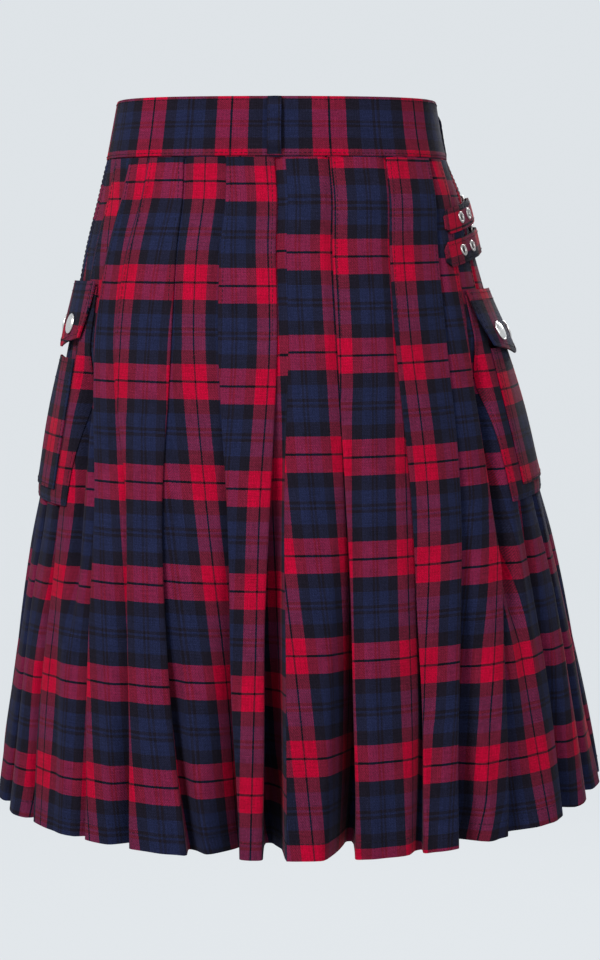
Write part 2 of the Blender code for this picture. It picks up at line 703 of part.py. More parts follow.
def make_eyelet(name, label, around):
    bpy.ops.mesh.primitive_torus_add(major_segments=16, minor_segments=6, major_radius=EYELET_RADIUS,
                                     minor_radius=EYELET_WIRE)
    eyelet = bpy.context.active_object
    for collection in list(eyelet.users_collection):
        collection.objects.unlink(eyelet)
    bpy.data.collections[COLLECTION].objects.link(eyelet)
    eyelet.name = "eyelet_" + name + "_" + label
    flatten = Matrix.Diagonal((1.0, 1.0, 0.6, 1.0))
    lift = STRAP_CLOTH / 2 + EYELET_WIRE * 0.6 + 0.0004
    eyelet.data.transform(strap_frame(name, around) @ Matrix.Translation((0, 0, lift)) @ flatten)
    eyelet.data.materials.append(finish_material("steel"))
    eyelet.data.shade_smooth()
    return eyelet


def wire(name, points, radius, closed, finish):
    curve = bpy.data.curves.new(name, "CURVE")
    curve.dimensions = "3D"
    curve.bevel_depth = radius
    curve.bevel_resolution = 1
    curve.use_fill_caps = not closed
    spline = curve.splines.new("POLY")
    spline.points.add(len(points) - 1)
    for target, point in zip(spline.points, points):
        target.co = (*point, 1.0)
    spline.use_cyclic_u = closed
    curve.materials.append(finish_material(finish))
    part = bpy.data.objects.new(name, curve)
    bpy.data.collections[COLLECTION].objects.link(part)
    return part


def make_buckle_frame(name):
    """A rounded rectangle of wire: its bar lies under the strap and its rail over it."""
    half, corner = FRAME_HEIGHT / 2, FRAME_CORNER
    outline = ((BAR, -half + corner), (BAR + corner, -half), (RAIL - corner, -half), (RAIL, -half + corner),
               (RAIL, 0.0), (RAIL, half - corner), (RAIL - corner, half), (BAR + corner, half),
               (BAR, half - corner), (BAR, 0.0))
    points = []
    for around, side in outline:
        share = (around - BAR) / (RAIL - BAR)
        out = BAR_OUT + (RAIL_OUT - BAR_OUT) * share + FRAME_BOW * math.sin(math.pi * share)
        points.append(across_strap(name, around, out, side))
    return wire("buckle_" + name + "_frame", points, WIRE, True, "steel")


def make_buckle_prong(name):
    """A pin from beside the bar, up through the strap's third eyelet, to rest on the rail."""
    on_rail = RAIL_OUT + WIRE + PRONG_WIRE + SEAM_GAP
    line = ((BAR + 0.0036, BAR_OUT), (BAR + 0.0082, BAR_OUT - 0.0007), (BAR + 0.0108, BAR_OUT - 0.0002),
            (BAR + 0.0124, on_rail - 0.0004), (RAIL, on_rail), (RAIL + 0.0028, on_rail - 0.0001))
    points = [across_strap(name, around, out, 0.0) for around, out in line]
    return wire("buckle_" + name + "_prong", points, PRONG_WIRE, False, "steel")


def make_buckle_tab(name):
    """A cloth tab sewn to the skirt, folded round the buckle's bar."""
    turn = WIRE + SEAM_GAP + TAB_CLOTH / 2
    line = [(around, TAB_SEAT) for around in spread(TAB_END, BAR, 6)]
    for angle in (45, 90, 135):
        swing = math.radians(angle)
        line.append((BAR + turn * math.sin(swing), BAR_OUT - turn * math.cos(swing)))
    line += [(BAR, TAB_TOP), (BAR - 0.004, TAB_TOP - 0.0006), (0.2190, TAB_BACK + 0.0004)]
    line += [(around, TAB_BACK) for around in spread(0.2150, TAB_END, 3)]
    return strip("buckle_" + name + "_tab", name, line, lambda around: TAB_WIDTH / 2, TAB_CLOTH, "trim", 2)


# ---------------------------------------------------------------- the kilt

def main():
    clear_scene()
    make_collection(COLLECTION)
    make_collection(CUTTERS)
    make_waistband()
    make_skirt_left()
    make_skirt_right()
    make_over_apron()
    make_under_apron()
    for name, around in LOOP_PLACES.items():
        make_belt_loop(name, around)
    for name in POCKET_SIDES:
        make_pocket_gusset(name)
        make_pocket_front(name)
        make_pocket_flap(name)
        for end in ("rear", "front"):
            make_snap(name, end)
    for name in STRAPS:
        make_strap(name)
        for label, around in EYELETS.items():
            make_eyelet(name, label, around)
        make_buckle_frame(name)
        make_buckle_prong(name)
        make_buckle_tab(name)


main()
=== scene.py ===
"""The looks of a knee-length utility kilt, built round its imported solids.

Metres, +Z up. The wearer faces +Y, so the pleated back faces -Y, and +X is the wearer's right.
Cloth is placed by how far round the ring it lies from the centre back, how far down from the waist
seam, and how far out from the ring, exactly as the solids are. Every piece of cloth carries a map
named "weave": its first coordinate runs across the warp and its second down the weft, in metres.
"""

import functools
import math
from collections import namedtuple
from types import SimpleNamespace

import bmesh
import bpy
import numpy as np
from mathutils import Matrix, Vector


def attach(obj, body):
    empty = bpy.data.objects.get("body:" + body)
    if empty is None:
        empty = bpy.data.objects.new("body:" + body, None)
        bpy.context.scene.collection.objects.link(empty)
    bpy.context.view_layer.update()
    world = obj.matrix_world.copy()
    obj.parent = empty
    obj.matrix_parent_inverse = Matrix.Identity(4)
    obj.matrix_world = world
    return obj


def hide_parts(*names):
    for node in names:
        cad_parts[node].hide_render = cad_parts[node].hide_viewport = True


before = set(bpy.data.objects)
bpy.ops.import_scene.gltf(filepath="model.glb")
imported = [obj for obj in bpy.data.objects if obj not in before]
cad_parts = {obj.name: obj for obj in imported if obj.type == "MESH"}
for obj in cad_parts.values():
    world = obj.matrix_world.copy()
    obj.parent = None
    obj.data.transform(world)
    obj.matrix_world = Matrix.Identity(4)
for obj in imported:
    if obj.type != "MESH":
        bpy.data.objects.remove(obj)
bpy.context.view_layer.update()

MM = 0.001

# ---------------------------------------------------------------- sizes shared with the solids

BAND_HEIGHT = 0.0495
SKIRT_DROP = 0.553
HIP_DROP = 0.155
BAND_SEAM_GAP = 0.0008
SEAM_GAP = 0.0003
SEAT_GAP = 0.0005
CLOTH = 0.0012
LAYER = 0.0013              # the cloth shown is thinner than its solid, so its layers lie closer
APRON_LIFT = 0.0026
BAND_CLOTH = 0.0022

# drop, half width, back and front depth, swing towards +X, squareness
SECTIONS = (
    (-0.051, 0.1345, 0.1030, 0.1030, 0.0000, 2.50),
    (0.000, 0.1440, 0.1085, 0.1065, 0.0000, 2.45),
    (0.034, 0.1541, 0.1178, 0.1108, 0.0025, 2.40),
    (0.079, 0.1640, 0.1300, 0.1163, 0.0021, 2.33),
    (0.115, 0.1718, 0.1397, 0.1205, 0.0036, 2.27),
    (0.155, 0.1808, 0.1500, 0.1250, 0.0055, 2.20),
    (0.278, 0.2078, 0.1740, 0.1400, 0.0105, 2.10),
    (0.416, 0.2328, 0.1980, 0.1550, 0.0150, 2.05),
    (0.553, 0.2538, 0.2150, 0.1680, 0.0188, 2.00),
)
SEAM_SIDE_Z = -0.0172
SEAM_DIP = 0.0098
HEM_SIDE_Z = -0.5460
HEM_DIP_BACK = 0.0340
HEM_DIP_FRONT = 0.0260
HEM_RISE_RIGHT = 0.0110
RECESS_LIFT = 0.07

# Places round the ring are given in millimetres at these five drops.
LEVELS = (0.000, 0.155, 0.278, 0.416, 0.553)

Pleat = namedtuple("Pleat", "name edges lean tuck_seam tuck_hip tuck_hem run shoulder depth")
LEFT_PLEATS = [Pleat(*row) for row in (
    ("left_front", (-232, -308, -355, -400, -442), -1, 9, 13, 9, 20, 0, 40),
    ("left_fore", (-211, -277, -315, -350, -392), -1, 9, 13, 9, 20, 0, 45),
    ("left_side", (-191, -248, -278, -308, -340), -1, 9, 13, 9, 20, 0, 45),
    ("left_hip", (-172, -222, -245, -270, -290), -1, 8, 11, 9, 18, 0, 52),
    ("left_pocket", (-151, -197, -216, -236, -248), -1, 9, 11, 10, 9, 0, 44),
    ("left_shallow", (-129, -172, -170, -177, -182), -1, 9, 12, 4, 10, 0, 9),
    ("left_outer", (-107, -146, -137, -136, -137), -1, 12, 22, 8, 18, 0, 30),
    ("left_ridge", (-76, -91, -102, -101, -88), 1, 12, 24, 8, 14, 11, 22),
    ("left_back", (-40, -51, -49, -49, -47), -1, 14, 19, 8, 10, 36, 62),
    ("centre", (-1, -4, -14, -23, -27), 1, 15, 20, 7, 8, 50, 62),
)]
RIGHT_PLEATS = [Pleat(*row) for row in (
    ("right_back", (44, 44, 45, 46, 43), -1, 26, 32, 12, 24, 0, 64),
    ("right_inner", (92, 93, 99, 101, 99), -1, 18, 20, 6, 12, 0, 14),
    ("right_outer", (139, 142, 146, 136, 129), 1, 18, 21, 8, 26, 0, 46),
    ("right_shallow", (160, 169, 183, 182, 177), 1, 8, 11, 2, 24, 0, 10),
    ("right_pocket", (180, 200, 214, 233, 244), 1, 8, 12, 9, 18, 0, 52),
    ("right_hip", (200, 230, 246, 270, 288), 1, 9, 13, 9, 18, 0, 52),
    ("right_side", (219, 260, 281, 308, 334), 1, 8, 13, 9, 20, 0, 45),
    ("right_fore", (239, 291, 318, 353, 387), 1, 8, 13, 9, 20, 0, 45),
)]
CENTRE_SEAM = (8, 5, -3, -6, -9)
APRON_SEAM = (262, 346, 395, 447, 487)
OVER_APRON_EDGE = (250, 330, 376, 426, 465)
UNDER_APRON_EDGE = (296, 384, 436, 490, 530)
RISE, TOE, TOE_STEP, END_STEP, VALLEY_ROUND = 8.0, 1.5, 1.0, 4.0, 4.0      # of a fold, in millimetres
APRON_CLIMB = 0.08

# ---------------------------------------------------------------- the tartan's chart

# Threads of one repeat, from the red block that holds the thin navy line. The weft is beaten up
# less closely than the warp is set, so the same chart is longer down the cloth than across it.
SETT = (("red", 26), ("line", 4), ("red", 26), ("black", 23), ("navy", 22), ("black", 5),
        ("navy", 4), ("black", 5), ("navy", 22), ("black", 23))
SETT_CENTRE = 28.0
WARP_PITCH = 0.000347
WEFT_PITCH = 0.000500
SETT_THREADS = sum(count for _, count in SETT)
WARP_REPEAT = SETT_THREADS * WARP_PITCH
WEFT_REPEAT = SETT_THREADS * WEFT_PITCH

# Dyed yarn as 8-bit colours.
YARN = {"red": (121, 0, 34), "line": (6, 6, 11), "navy": (23, 27, 46), "black": (20, 18, 25)}

# Where the middle of a red warp stripe lies round the ring at the five levels, for each panel
# between two pleats. The pleats hide whole repeats, and these show what is left of them.
LEFT_STRIPES = (
    (-262, -335, -385, -425, -455), (-240, -305, -350, -390, -418), (-228, -290, -322, -355, -385),
    (-214, -262, -290, -318, -344), (-207, -206, -213, -241, -256), (-152, -158, -153, -170, -181),
    (-109, -138, -134, -131, -134), (-109, -139, -144, -143, -137), (-57, -71, -67, -58, -55),
    (-8, -10, -22, -30, -37), (-12, -12, -13, -12, -12),
)
RIGHT_STRIPES = (
    (-12, -12, -9, 2, 12), (45, 46, 41, 38, 39), (102, 106, 113, 105, 92), (153, 175, 184, 168, 151),
    (139, 156, 178, 202, 218), (178, 200, 214, 233, 247), (222, 262, 285, 306, 325),
    (248, 296, 325, 356, 380), (262, 330, 366, 405, 436),
)
# How far below the waist seam a red weft band has its middle on each panel, at the five levels.
LEFT_WEFT = (
    (30, 31, 32, 33, 34), (36, 34, 33, 31, 30), (30, 32, 34, 36, 38), (40, 41, 43, 44, 46),
    (42, 41, 40, 39, 38), (39, 37, 35, 33, 31), (25, 26, 27, 28, 29), (24, 25, 25, 26, 26),
    (25, 24, 23, 22, 20), (27, 27, 27, 27, 27), (2, 1, 22, 28, 27),
)
RIGHT_WEFT = (
    (2, 0, 0, -3, 0), (6, 3, 3, 2, 4), (10, 10, 10, 10, 10), (22, 20, 18, 17, 15),
    (38, 30, 23, 20, 20), (32, 27, 22, 22, 22), (30, 30, 30, 30, 30), (34, 32, 31, 29, 28),
    (30, 31, 32, 33, 34),
)
# How far the waist seam draws up the weft bands just under it on each panel, in millimetres.
LEFT_PULL = (0,) * len(LEFT_WEFT)
RIGHT_PULL = (-9, -6, -2, 0, 0, 0, 0, 0, 0)
PULL_REACH = 0.030
# The weft bands' even spacing is bent by this much down the skirt: drop and bend, in millimetres.
WEFT_BEND = ((0, -5.0), (25, -3.6), (105, 0.8), (185, 1.6), (265, 2.3), (345, 2.0), (425, 0.0),
             (505, -3.3), (553, -5.5))


# ---------------------------------------------------------------- the ring

def smooth_read(places, values, place):
    """Reads a column at any places, on a smooth curve through its values."""
    places, values = np.asarray(places, float), np.asarray(values, float)
    slopes = np.gradient(values, places)
    place = np.clip(place, places[0], places[-1])
    i = np.clip(np.searchsorted(places, place) - 1, 0, len(places) - 2)
    width = places[i + 1] - places[i]
    t = (place - places[i]) / width
    return ((2 * t**3 - 3 * t**2 + 1) * values[i] + (t**3 - 2 * t**2 + t) * width * slopes[i]
            + (3 * t**2 - 2 * t**3) * values[i + 1] + (t**3 - t**2) * width * slopes[i + 1])


def at_level(columns, drop):
    """A position given at the five levels, read at any drops, in metres."""
    return smooth_read(LEVELS, columns, drop) * MM


def unit(vectors):
    return vectors / (np.linalg.norm(vectors, axis=-1, keepdims=True) + 1e-12)


def travelled(points):
    """How far along a line each of its points lies."""
    return np.concatenate(([0.0], np.cumsum(np.linalg.norm(np.diff(points, axis=0), axis=1))))


RING_STEPS = 1440
RING_CELL = 0.004           # rings are made at this spacing, and read between
TANGENT_REACH = 3


@functools.cache
def ring(cell):
    """The ring at a whole number of cells: turn angles, distances round it, plan points and normals."""
    drops = [row[0] for row in SECTIONS]
    half_width, back, front, swing, squareness = (
        smooth_read(drops, [row[i] for row in SECTIONS], cell * RING_CELL) for i in range(1, 6))
    turn = np.linspace(-math.pi, math.pi, RING_STEPS + 1)
    power = 2.0 / squareness
    sine, cosine = np.sin(turn), np.cos(turn)
    depth = np.where(cosine >= 0, back, front)
    points = np.column_stack((swing + half_width * np.sign(sine) * np.abs(sine)**power,
                              -depth * np.sign(cosine) * np.abs(cosine)**power))
    along = travelled(points)
    along -= np.interp(0.0, turn, along)
    tangent = np.roll(points[:-1], -TANGENT_REACH, axis=0) - np.roll(points[:-1], TANGENT_REACH, axis=0)
    tangent = unit(np.vstack((tangent, tangent[:1])))
    return turn, along, points, np.column_stack((tangent[:, 1], -tangent[:, 0]))


def half_round(drop):
    """Half the ring's length at any drops."""
    cells = range(math.floor(np.min(drop) / RING_CELL), math.floor(np.max(drop) / RING_CELL) + 2)
    return np.interp(drop, np.array(cells) * RING_CELL, [np.ptp(ring(cell)[1]) / 2 for cell in cells])


def on_ring(cell, around, out, drop):
    turn, along, points, normals = ring(cell)
    around = (around - along[0]) % (along[-1] - along[0]) + along[0]
    angle = np.interp(around, along, turn)
    facing = np.cos(angle)
    plan = [np.interp(around, along, points[:, i]) + out * np.interp(around, along, normals[:, i])
            for i in range(2)]
    seam_z = SEAM_SIDE_Z - SEAM_DIP * np.abs(facing)
    hem_z = HEM_SIDE_Z - np.where(facing > 0, HEM_DIP_BACK, HEM_DIP_FRONT) * np.abs(facing)
    hem_z = hem_z + HEM_RISE_RIGHT * np.maximum(0.0, np.sin(angle))**3
    height = np.where(drop >= 0, seam_z + (hem_z - seam_z) * drop / SKIRT_DROP, seam_z - drop)
    height = height + np.maximum(0.0, -out) * RECESS_LIFT * np.maximum(0.0, drop) / SKIRT_DROP
    return np.stack((plan[0], plan[1], height), axis=-1)


def as_arrays(*values):
    return np.broadcast_arrays(*(np.asarray(value, float) for value in values))


def place(around, drop, out):
    """Points that lie around the ring, down from the waist seam and out from the ring."""
    around, drop, out = as_arrays(around, drop, out)
    result = np.empty(around.shape + (3,))
    cells = np.floor(drop / RING_CELL + 1e-9).astype(int)
    for cell in np.unique(cells).tolist():
        here = cells == cell
        share = (drop[here] / RING_CELL - cell)[..., None]
        low, high = (on_ring(c, around[here], out[here], drop[here]) for c in (cell, cell + 1))
        result[here] = low + (high - low) * share
    return result


def smooth_step(value, low, high):
    t = np.clip((value - low) / (high - low), 0.0, 1.0)
    return t * t * (3 - 2 * t)


# Soft creases in the cloth: the place round the ring and the drop where each starts, the same where
# it ends, its half width and its height, in millimetres. A negative height is a trough.
CREASES = (
    # below the release of the pleats at the back
    (-92, 175, -95, 345, 6, -3.2), (153, 170, 158, 345, 6, -3.4), (150, 330, 141, 545, 7, -3.4),
    (101, 330, 106, 545, 6, -2.2), (52, 170, 53, 545, 5, -1.6), (-118, 165, -126, 330, 7, 1.6),
    (-72, 170, -86, 300, 8, -1.4), (-30, 160, -22, 300, 7, 1.3), (18, 150, 6, 330, 8, 1.5),
    (32, 330, 24, 540, 7, -1.6), (62, 175, 74, 320, 8, 1.3), (84, 200, 72, 420, 9, -1.5),
    (118, 170, 126, 330, 8, 1.4), (122, 330, 112, 520, 8, -1.5), (-122, 300, -112, 540, 9, 1.8),
    (-66, 330, -72, 540, 8, 1.6), (-38, 380, -40, 545, 6, 1.2), (66, 380, 58, 545, 9, 1.8),
    (84, 420, 90, 545, 6, -1.2), (-158, 330, -152, 545, 8, 1.6),
    # the right side below the pocket
    (186, 300, 198, 470, 6, 2.4), (205, 285, 214, 430, 6, 2.2), (196, 380, 206, 545, 8, -2.0),
    (160, 360, 152, 545, 8, -1.6),
    # the left side below the pocket
    (-196, 310, -206, 545, 8, 2.0), (-226, 330, -214, 545, 7, -1.8), (-262, 330, -266, 545, 9, 1.8),
    # both front sides and the aprons
    (262, 200, 268, 545, 9, 1.8), (312, 180, 330, 545, 9, 1.6), (356, 200, 372, 545, 9, -1.5),
    (-305, 180, -322, 545, 9, 1.7), (-352, 200, -370, 545, 9, -1.5), (-398, 220, -412, 545, 8, 1.5),
    (420, 250, 446, 550, 16, 1.6), (478, 180, 500, 550, 20, -1.5), (540, 260, 566, 550, 22, 1.8),
    (-560, 200, -600, 550, 22, 1.6), (-480, 240, -520, 550, 20, -1.6), (640, 300, 660, 550, 20, 1.5),
)
# Sunk places between the back pleats and the pockets, which weigh the sides down: side of the skirt,
# places round the ring at two drops, and depth, in millimetres.
SUNK = ((1, 180, 191, 18), (-1, 184, 193, 13))
SUNK_DROPS = (190, 310)
SUNK_HALF_WIDTH = 6.2
POCKET_MIDDLE = 228                 # millimetres round the ring on either side
WHOLE_AT_LEVELS = 2 * half_round(LEVELS) / MM


def relief(around, drop):
    """How far the cloth swells out from its even form, in metres; inside, all is in millimetres."""
    a, d = as_arrays(np.asarray(around, float) / MM, np.asarray(drop, float) / MM)
    whole = np.interp(d, np.array(LEVELS) / MM, WHOLE_AT_LEVELS)
    total = np.zeros(a.shape)
    for around_top, drop_top, around_bottom, drop_bottom, half_width, height in CREASES:
        t = (d - drop_top) / (drop_bottom - drop_top)
        line = around_top + (around_bottom - around_top) * t + 3.0 * np.sin(2.6 * t + around_top)
        strength = smooth_step(t, -0.12, 0.35) * (1 - 0.4 * smooth_step(t, 0.8, 1.1))
        beside = (a - line + whole / 2) % whole - whole / 2
        total += height * strength * np.exp(-(beside / half_width)**2)
    free = smooth_step(d, 130, 520)
    front = smooth_step(np.abs(a), 310, 390)    # both aprons share one form, whichever side they are laid from
    for along, share in ((a, 1 - front), (a % whole, front)):
        total += free * share * (0.7 * np.sin(along / 17.0 + 2.1 * np.sin(d / 90.0))
                                 + 0.5 * np.sin(along / 9.7 + d / 61.0 + 1.3))
    pucker = np.exp(-np.maximum(d, 0) / 9.0) * smooth_step(d, -1, 2)
    total += 0.35 * pucker * np.sin(a / 2.3 + 1.5 * np.sin(a / 13.0))
    steady = smooth_step(np.abs(np.abs(a) - POCKET_MIDDLE), 75, 105)    # the pockets and straps lie evenly
    total *= 0.15 + 0.85 * np.maximum(steady, smooth_step(d, 285, 340))
    for side, top, bottom, depth in SUNK:
        line = top + (bottom - top) * (d - SUNK_DROPS[0]) / (SUNK_DROPS[1] - SUNK_DROPS[0])
        sunk = smooth_step(d, 150, 210) * (1 - smooth_step(d, 320, 420))
        total -= depth * sunk * np.exp(-((side * a - line) / SUNK_HALF_WIDTH)**2)
    return total * MM


def cloth_at(around, drop, out):
    """Points of cloth, with its creases."""
    return place(around, drop, np.asarray(out, float) + relief(around, drop))


# ---------------------------------------------------------------- materials

class Nodes:
    """A new material's nodes. Each input is a value, or the socket that feeds it."""

    def __init__(self, name):
        self.material = bpy.data.materials.new(name)
        self.material.use_nodes = True
        self.tree = self.material.node_tree
        self.tree.nodes.clear()
        self.shader = self.add("BsdfPrincipled")
        self.add("OutputMaterial", {"Surface": self.shader.outputs[0]})

    def feed(self, node, inputs):
        for key, value in inputs.items():
            if isinstance(value, bpy.types.NodeSocket):
                self.tree.links.new(value, node.inputs[key])
            else:
                node.inputs[key].default_value = value

    def add(self, kind, inputs=None, **settings):
        made = self.tree.nodes.new("ShaderNode" + kind)
        for key, value in settings.items():
            setattr(made, key, value)
        self.feed(made, inputs or {})
        return made

    def math(self, operation, *values, clamp=False):
        return self.add("Math", dict(enumerate(values)), operation=operation, use_clamp=clamp).outputs[0]

    def weighted(self, base, *terms):
        """The sum of a base value and each term times its weight."""
        for value, weight in terms:
            base = self.math("MULTIPLY_ADD", value, weight, base)
        return base

    def noise(self, vector, scale, detail=2.0, roughness=0.5):
        return self.add("TexNoise", {"Vector": vector, "Scale": scale, "Detail": detail,
                                     "Roughness": roughness}).outputs["Fac"]

    def mix(self, factor, first, second, blend="MIX"):
        return self.add("Mix", {0: factor, 6: first, 7: second}, data_type="RGBA", blend_type=blend).outputs[2]

    def stretched(self, vector, scale):
        return self.add("Mapping", {0: vector, "Scale": scale}).outputs[0]

    def sett(self, place_in_repeat):
        """The chart as bands of yarn colour across one repeat."""
        made = self.add("ValToRGB", {"Fac": place_in_repeat})
        ramp = made.color_ramp
        ramp.interpolation = "CONSTANT"
        start = 0
        for i, (yarn, count) in enumerate(SETT):
            stop = ramp.elements[0] if i == 0 else ramp.elements.new(start / SETT_THREADS)
            stop.position = start / SETT_THREADS
            stop.color = (*[c / 255 for c in YARN[yarn]], 1.0)
            start += count
        ramp.elements.remove(ramp.elements[len(SETT)])
        return made.outputs["Color"]

    def finish(self, colour, roughness, height, strength, depth, others):
        """Feeds the shader; the height is shown as a bump of that strength and depth."""
        normal = self.add("Bump", {"Height": height, "Strength": strength, "Distance": depth}).outputs[0]
        self.feed(self.shader, {"Base Color": colour, "Roughness": roughness, "Normal": normal, **others})
        return self.material


GREY_CROSSING = (0.012, 0.050, 0.022, 1.0)
FUZZ_COLOUR = (0.45, 0.32, 0.40, 1.0)


def tartan_material(name):
    """Brushed cotton twill. Colours are mixed as they look to the eye, then made linear."""
    nodes = Nodes(name)
    weave = nodes.add("UVMap", uv_map="weave").outputs[0]
    wander = nodes.math("MULTIPLY_ADD", nodes.noise(weave, 700.0, 3.0), 0.0007, -0.00035)
    axes = nodes.add("SeparateXYZ", {0: weave}).outputs
    yarns = []
    for distance, repeat in ((axes[0], WARP_REPEAT), (axes[1], WEFT_REPEAT)):
        repeats = nodes.math("DIVIDE", nodes.math("ADD", distance, wander), repeat)
        yarns.append(nodes.sett(nodes.math("FRACT", nodes.math("ADD", repeats, SETT_CENTRE / SETT_THREADS))))
    # two threads over and two under, one step along in each row
    diagonal = nodes.math("ADD", nodes.math("DIVIDE", axes[0], 4 * WARP_PITCH),
                          nodes.math("DIVIDE", axes[1], 4 * WEFT_PITCH))
    wale = nodes.math("SINE", nodes.math("MULTIPLY", diagonal, 2 * math.pi))
    colour = nodes.mix(nodes.math("MULTIPLY_ADD", wale, 0.16, 0.55), *yarns)
    # where red crosses dark, the brushed fibres of both mix to a greyer shade
    crossing = nodes.add("SeparateColor", {0: nodes.mix(1.0, *yarns, "DIFFERENCE")}).outputs[0]
    colour = nodes.mix(nodes.math("MULTIPLY", crossing, 2.2, clamp=True), colour, GREY_CROSSING, "ADD")
    # threads differ a little in shade, and the nap is worn lighter in patches
    warp_shade = nodes.noise(nodes.stretched(weave, (1.0, 0.05, 1.0)), 1300.0)
    weft_shade = nodes.noise(nodes.stretched(weave, (0.05, 1.0, 1.0)), 1100.0)
    nap = nodes.noise(weave, 900.0, 4.0, 0.65)
    patches = nodes.noise(weave, 28.0, 3.0, 0.55)
    value = nodes.weighted(0.11, (warp_shade, 0.42), (weft_shade, 0.36), (nap, 0.80), (patches, 0.20))
    tinted = nodes.add("HueSaturation", {"Color": colour, "Value": value}).outputs[0]
    fuzz = nodes.math("MULTIPLY", nodes.math("SUBTRACT", nap, 0.55, clamp=True), 0.35)
    linear = nodes.add("Gamma", {"Color": nodes.mix(fuzz, tinted, FUZZ_COLOUR), "Gamma": 2.2}).outputs[0]
    height = nodes.weighted(0.0, (wale, 0.35), (nap, 1.1), (warp_shade, 1.0), (weft_shade, 1.0))
    return nodes.finish(linear, nodes.math("MULTIPLY_ADD", nap, 0.14, 0.82), height, 0.5, 0.0003, {
        "Specular IOR Level": 0.05, "Sheen Weight": 0.03, "Sheen Roughness": 0.45,
        "Sheen Tint": (0.75, 0.66, 0.72, 1.0)})


def thread_material(name, colour, lighter):
    """Twisted sewing thread."""
    nodes = Nodes(name)
    spot = nodes.add("TexCoord").outputs["Object"]
    twist = nodes.add("TexWave", {"Vector": spot, "Scale": 900.0, "Distortion": 2.0},
                      bands_direction="DIAGONAL").outputs["Fac"]
    shade = nodes.noise(spot, 160.0)
    mixed = nodes.mix(nodes.math("MULTIPLY", nodes.math("ADD", twist, shade), 0.5), colour, lighter)
    rough = nodes.math("MULTIPLY_ADD", shade, 0.2, 0.75)
    return nodes.finish(mixed, rough, twist, 0.5, 0.0001, {"Specular IOR Level": 0.1})


def metal_material(name, colour, darker, roughness, scratch_scale, grain):
    """Plated metal with fine handling marks and a duller film in patches."""
    nodes = Nodes(name)
    spot = nodes.add("TexCoord").outputs["Object"]
    film = nodes.noise(spot, 220.0, 4.0, 0.6)
    scratches = nodes.noise(nodes.stretched(spot, grain), scratch_scale, 2.0, 0.7)
    rough = nodes.math("MULTIPLY_ADD", nodes.math("ADD", film, scratches), 0.16, roughness - 0.12)
    return nodes.finish(nodes.mix(film, darker, colour), rough, scratches, 0.12, 0.00005, {"Metallic": 1.0})


TARTAN, BAND, TRIM = (tartan_material(name) for name in ("brushed_tartan", "band_tartan", "trim_tartan"))
DARK_THREAD = thread_material("dark_thread", (0.003, 0.003, 0.005, 1.0), (0.008, 0.008, 0.013, 1.0))
SNAP_METAL = metal_material("snap_metal", (0.74, 0.73, 0.72, 1.0), (0.54, 0.53, 0.52, 1.0), 0.34, 420.0,
                            (1.0, 1.0, 1.0))
STEEL = metal_material("antique_steel", (0.50, 0.47, 0.46, 1.0), (0.26, 0.24, 0.24, 1.0), 0.38, 300.0,
                       (0.2, 1.0, 1.0))


# ---------------------------------------------------------------- meshes

def add_object(name, data):
    made = bpy.data.objects.new(name, data)
    bpy.context.scene.collection.objects.link(made)
    return made


def make_object(name, mesh, material, node=None):
    """A piece that rides on the body. It stands for the node of the solids that it names."""
    made = add_object(name, mesh)
    mesh.materials.append(material)
    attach(made, "root")
    if node:
        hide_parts(node)
    return made


def apply_modifiers(made, sharp=50.0):
    """Keeps the shape that the modifiers give, and shades it smooth between its sharp edges."""
    shaped = bpy.data.meshes.new_from_object(made.evaluated_get(bpy.context.evaluated_depsgraph_get()))
    made.modifiers.clear()
    old, name = made.data, made.data.name
    made.data = shaped
    bpy.data.meshes.remove(old)
    shaped.name = name
    shaped.shade_smooth()
    shaped.set_sharp_from_angle(angle=math.radians(sharp))


def mesh_from(name, points, faces):
    mesh = bpy.data.meshes.new(name)
    mesh.from_pydata(points.reshape(-1, 3).tolist(), [], faces.tolist())
    return mesh


def grid_mesh(name, points, weave=None, closed_rows=False):
    """A mesh through rows of points. Rows run down and each runs the same way round, so it faces outwards."""
    index = np.arange(points[..., 0].size).reshape(points.shape[:2])
    if closed_rows:
        index = np.hstack((index, index[:, :1]))
    faces = np.stack((index[:-1, :-1], index[1:, :-1], index[1:, 1:], index[:-1, 1:]), axis=-1).reshape(-1, 4)
    mesh = mesh_from(name, points, faces)
    if weave is not None:
        layer = mesh.uv_layers.new(name="weave")
        layer.data.foreach_set("uv", weave.reshape(-1, 2)[faces.ravel()].astype(np.float32).ravel())
    mesh.update()
    return mesh


def close_up(mesh, distance):
    """Joins points that meet, fills open ends and turns the faces outwards."""
    shape = bmesh.new()
    shape.from_mesh(mesh)
    bmesh.ops.remove_doubles(shape, verts=shape.verts, dist=distance)
    bmesh.ops.holes_fill(shape, edges=[e for e in shape.edges if e.is_boundary], sides=0)
    bmesh.ops.recalc_face_normals(shape, faces=shape.faces)
    shape.to_mesh(mesh)
    shape.free()
    mesh.shade_smooth()


def lathe(name, profile, matrix, steps=40):
    """A turned piece; profile is (radius, height) in metres from its middle line or inner edge outwards."""
    shape = bmesh.new()
    verts = [shape.verts.new((radius, 0.0, height)) for radius, height in profile]
    edges = [shape.edges.new(pair) for pair in zip(verts, verts[1:])]
    bmesh.ops.spin(shape, geom=verts + edges, cent=(0, 0, 0), axis=(0, 0, 1), angle=2 * math.pi, steps=steps,
                   use_merge=True, use_duplicate=False)
    bmesh.ops.remove_doubles(shape, verts=shape.verts, dist=0.000002)
    bmesh.ops.recalc_face_normals(shape, faces=shape.faces)
    bmesh.ops.transform(shape, matrix=matrix, verts=shape.verts)
    mesh = bpy.data.meshes.new(name)
    shape.to_mesh(mesh)
    shape.free()
    mesh.shade_smooth()
    mesh.set_sharp_from_angle(angle=math.radians(62))
    return mesh


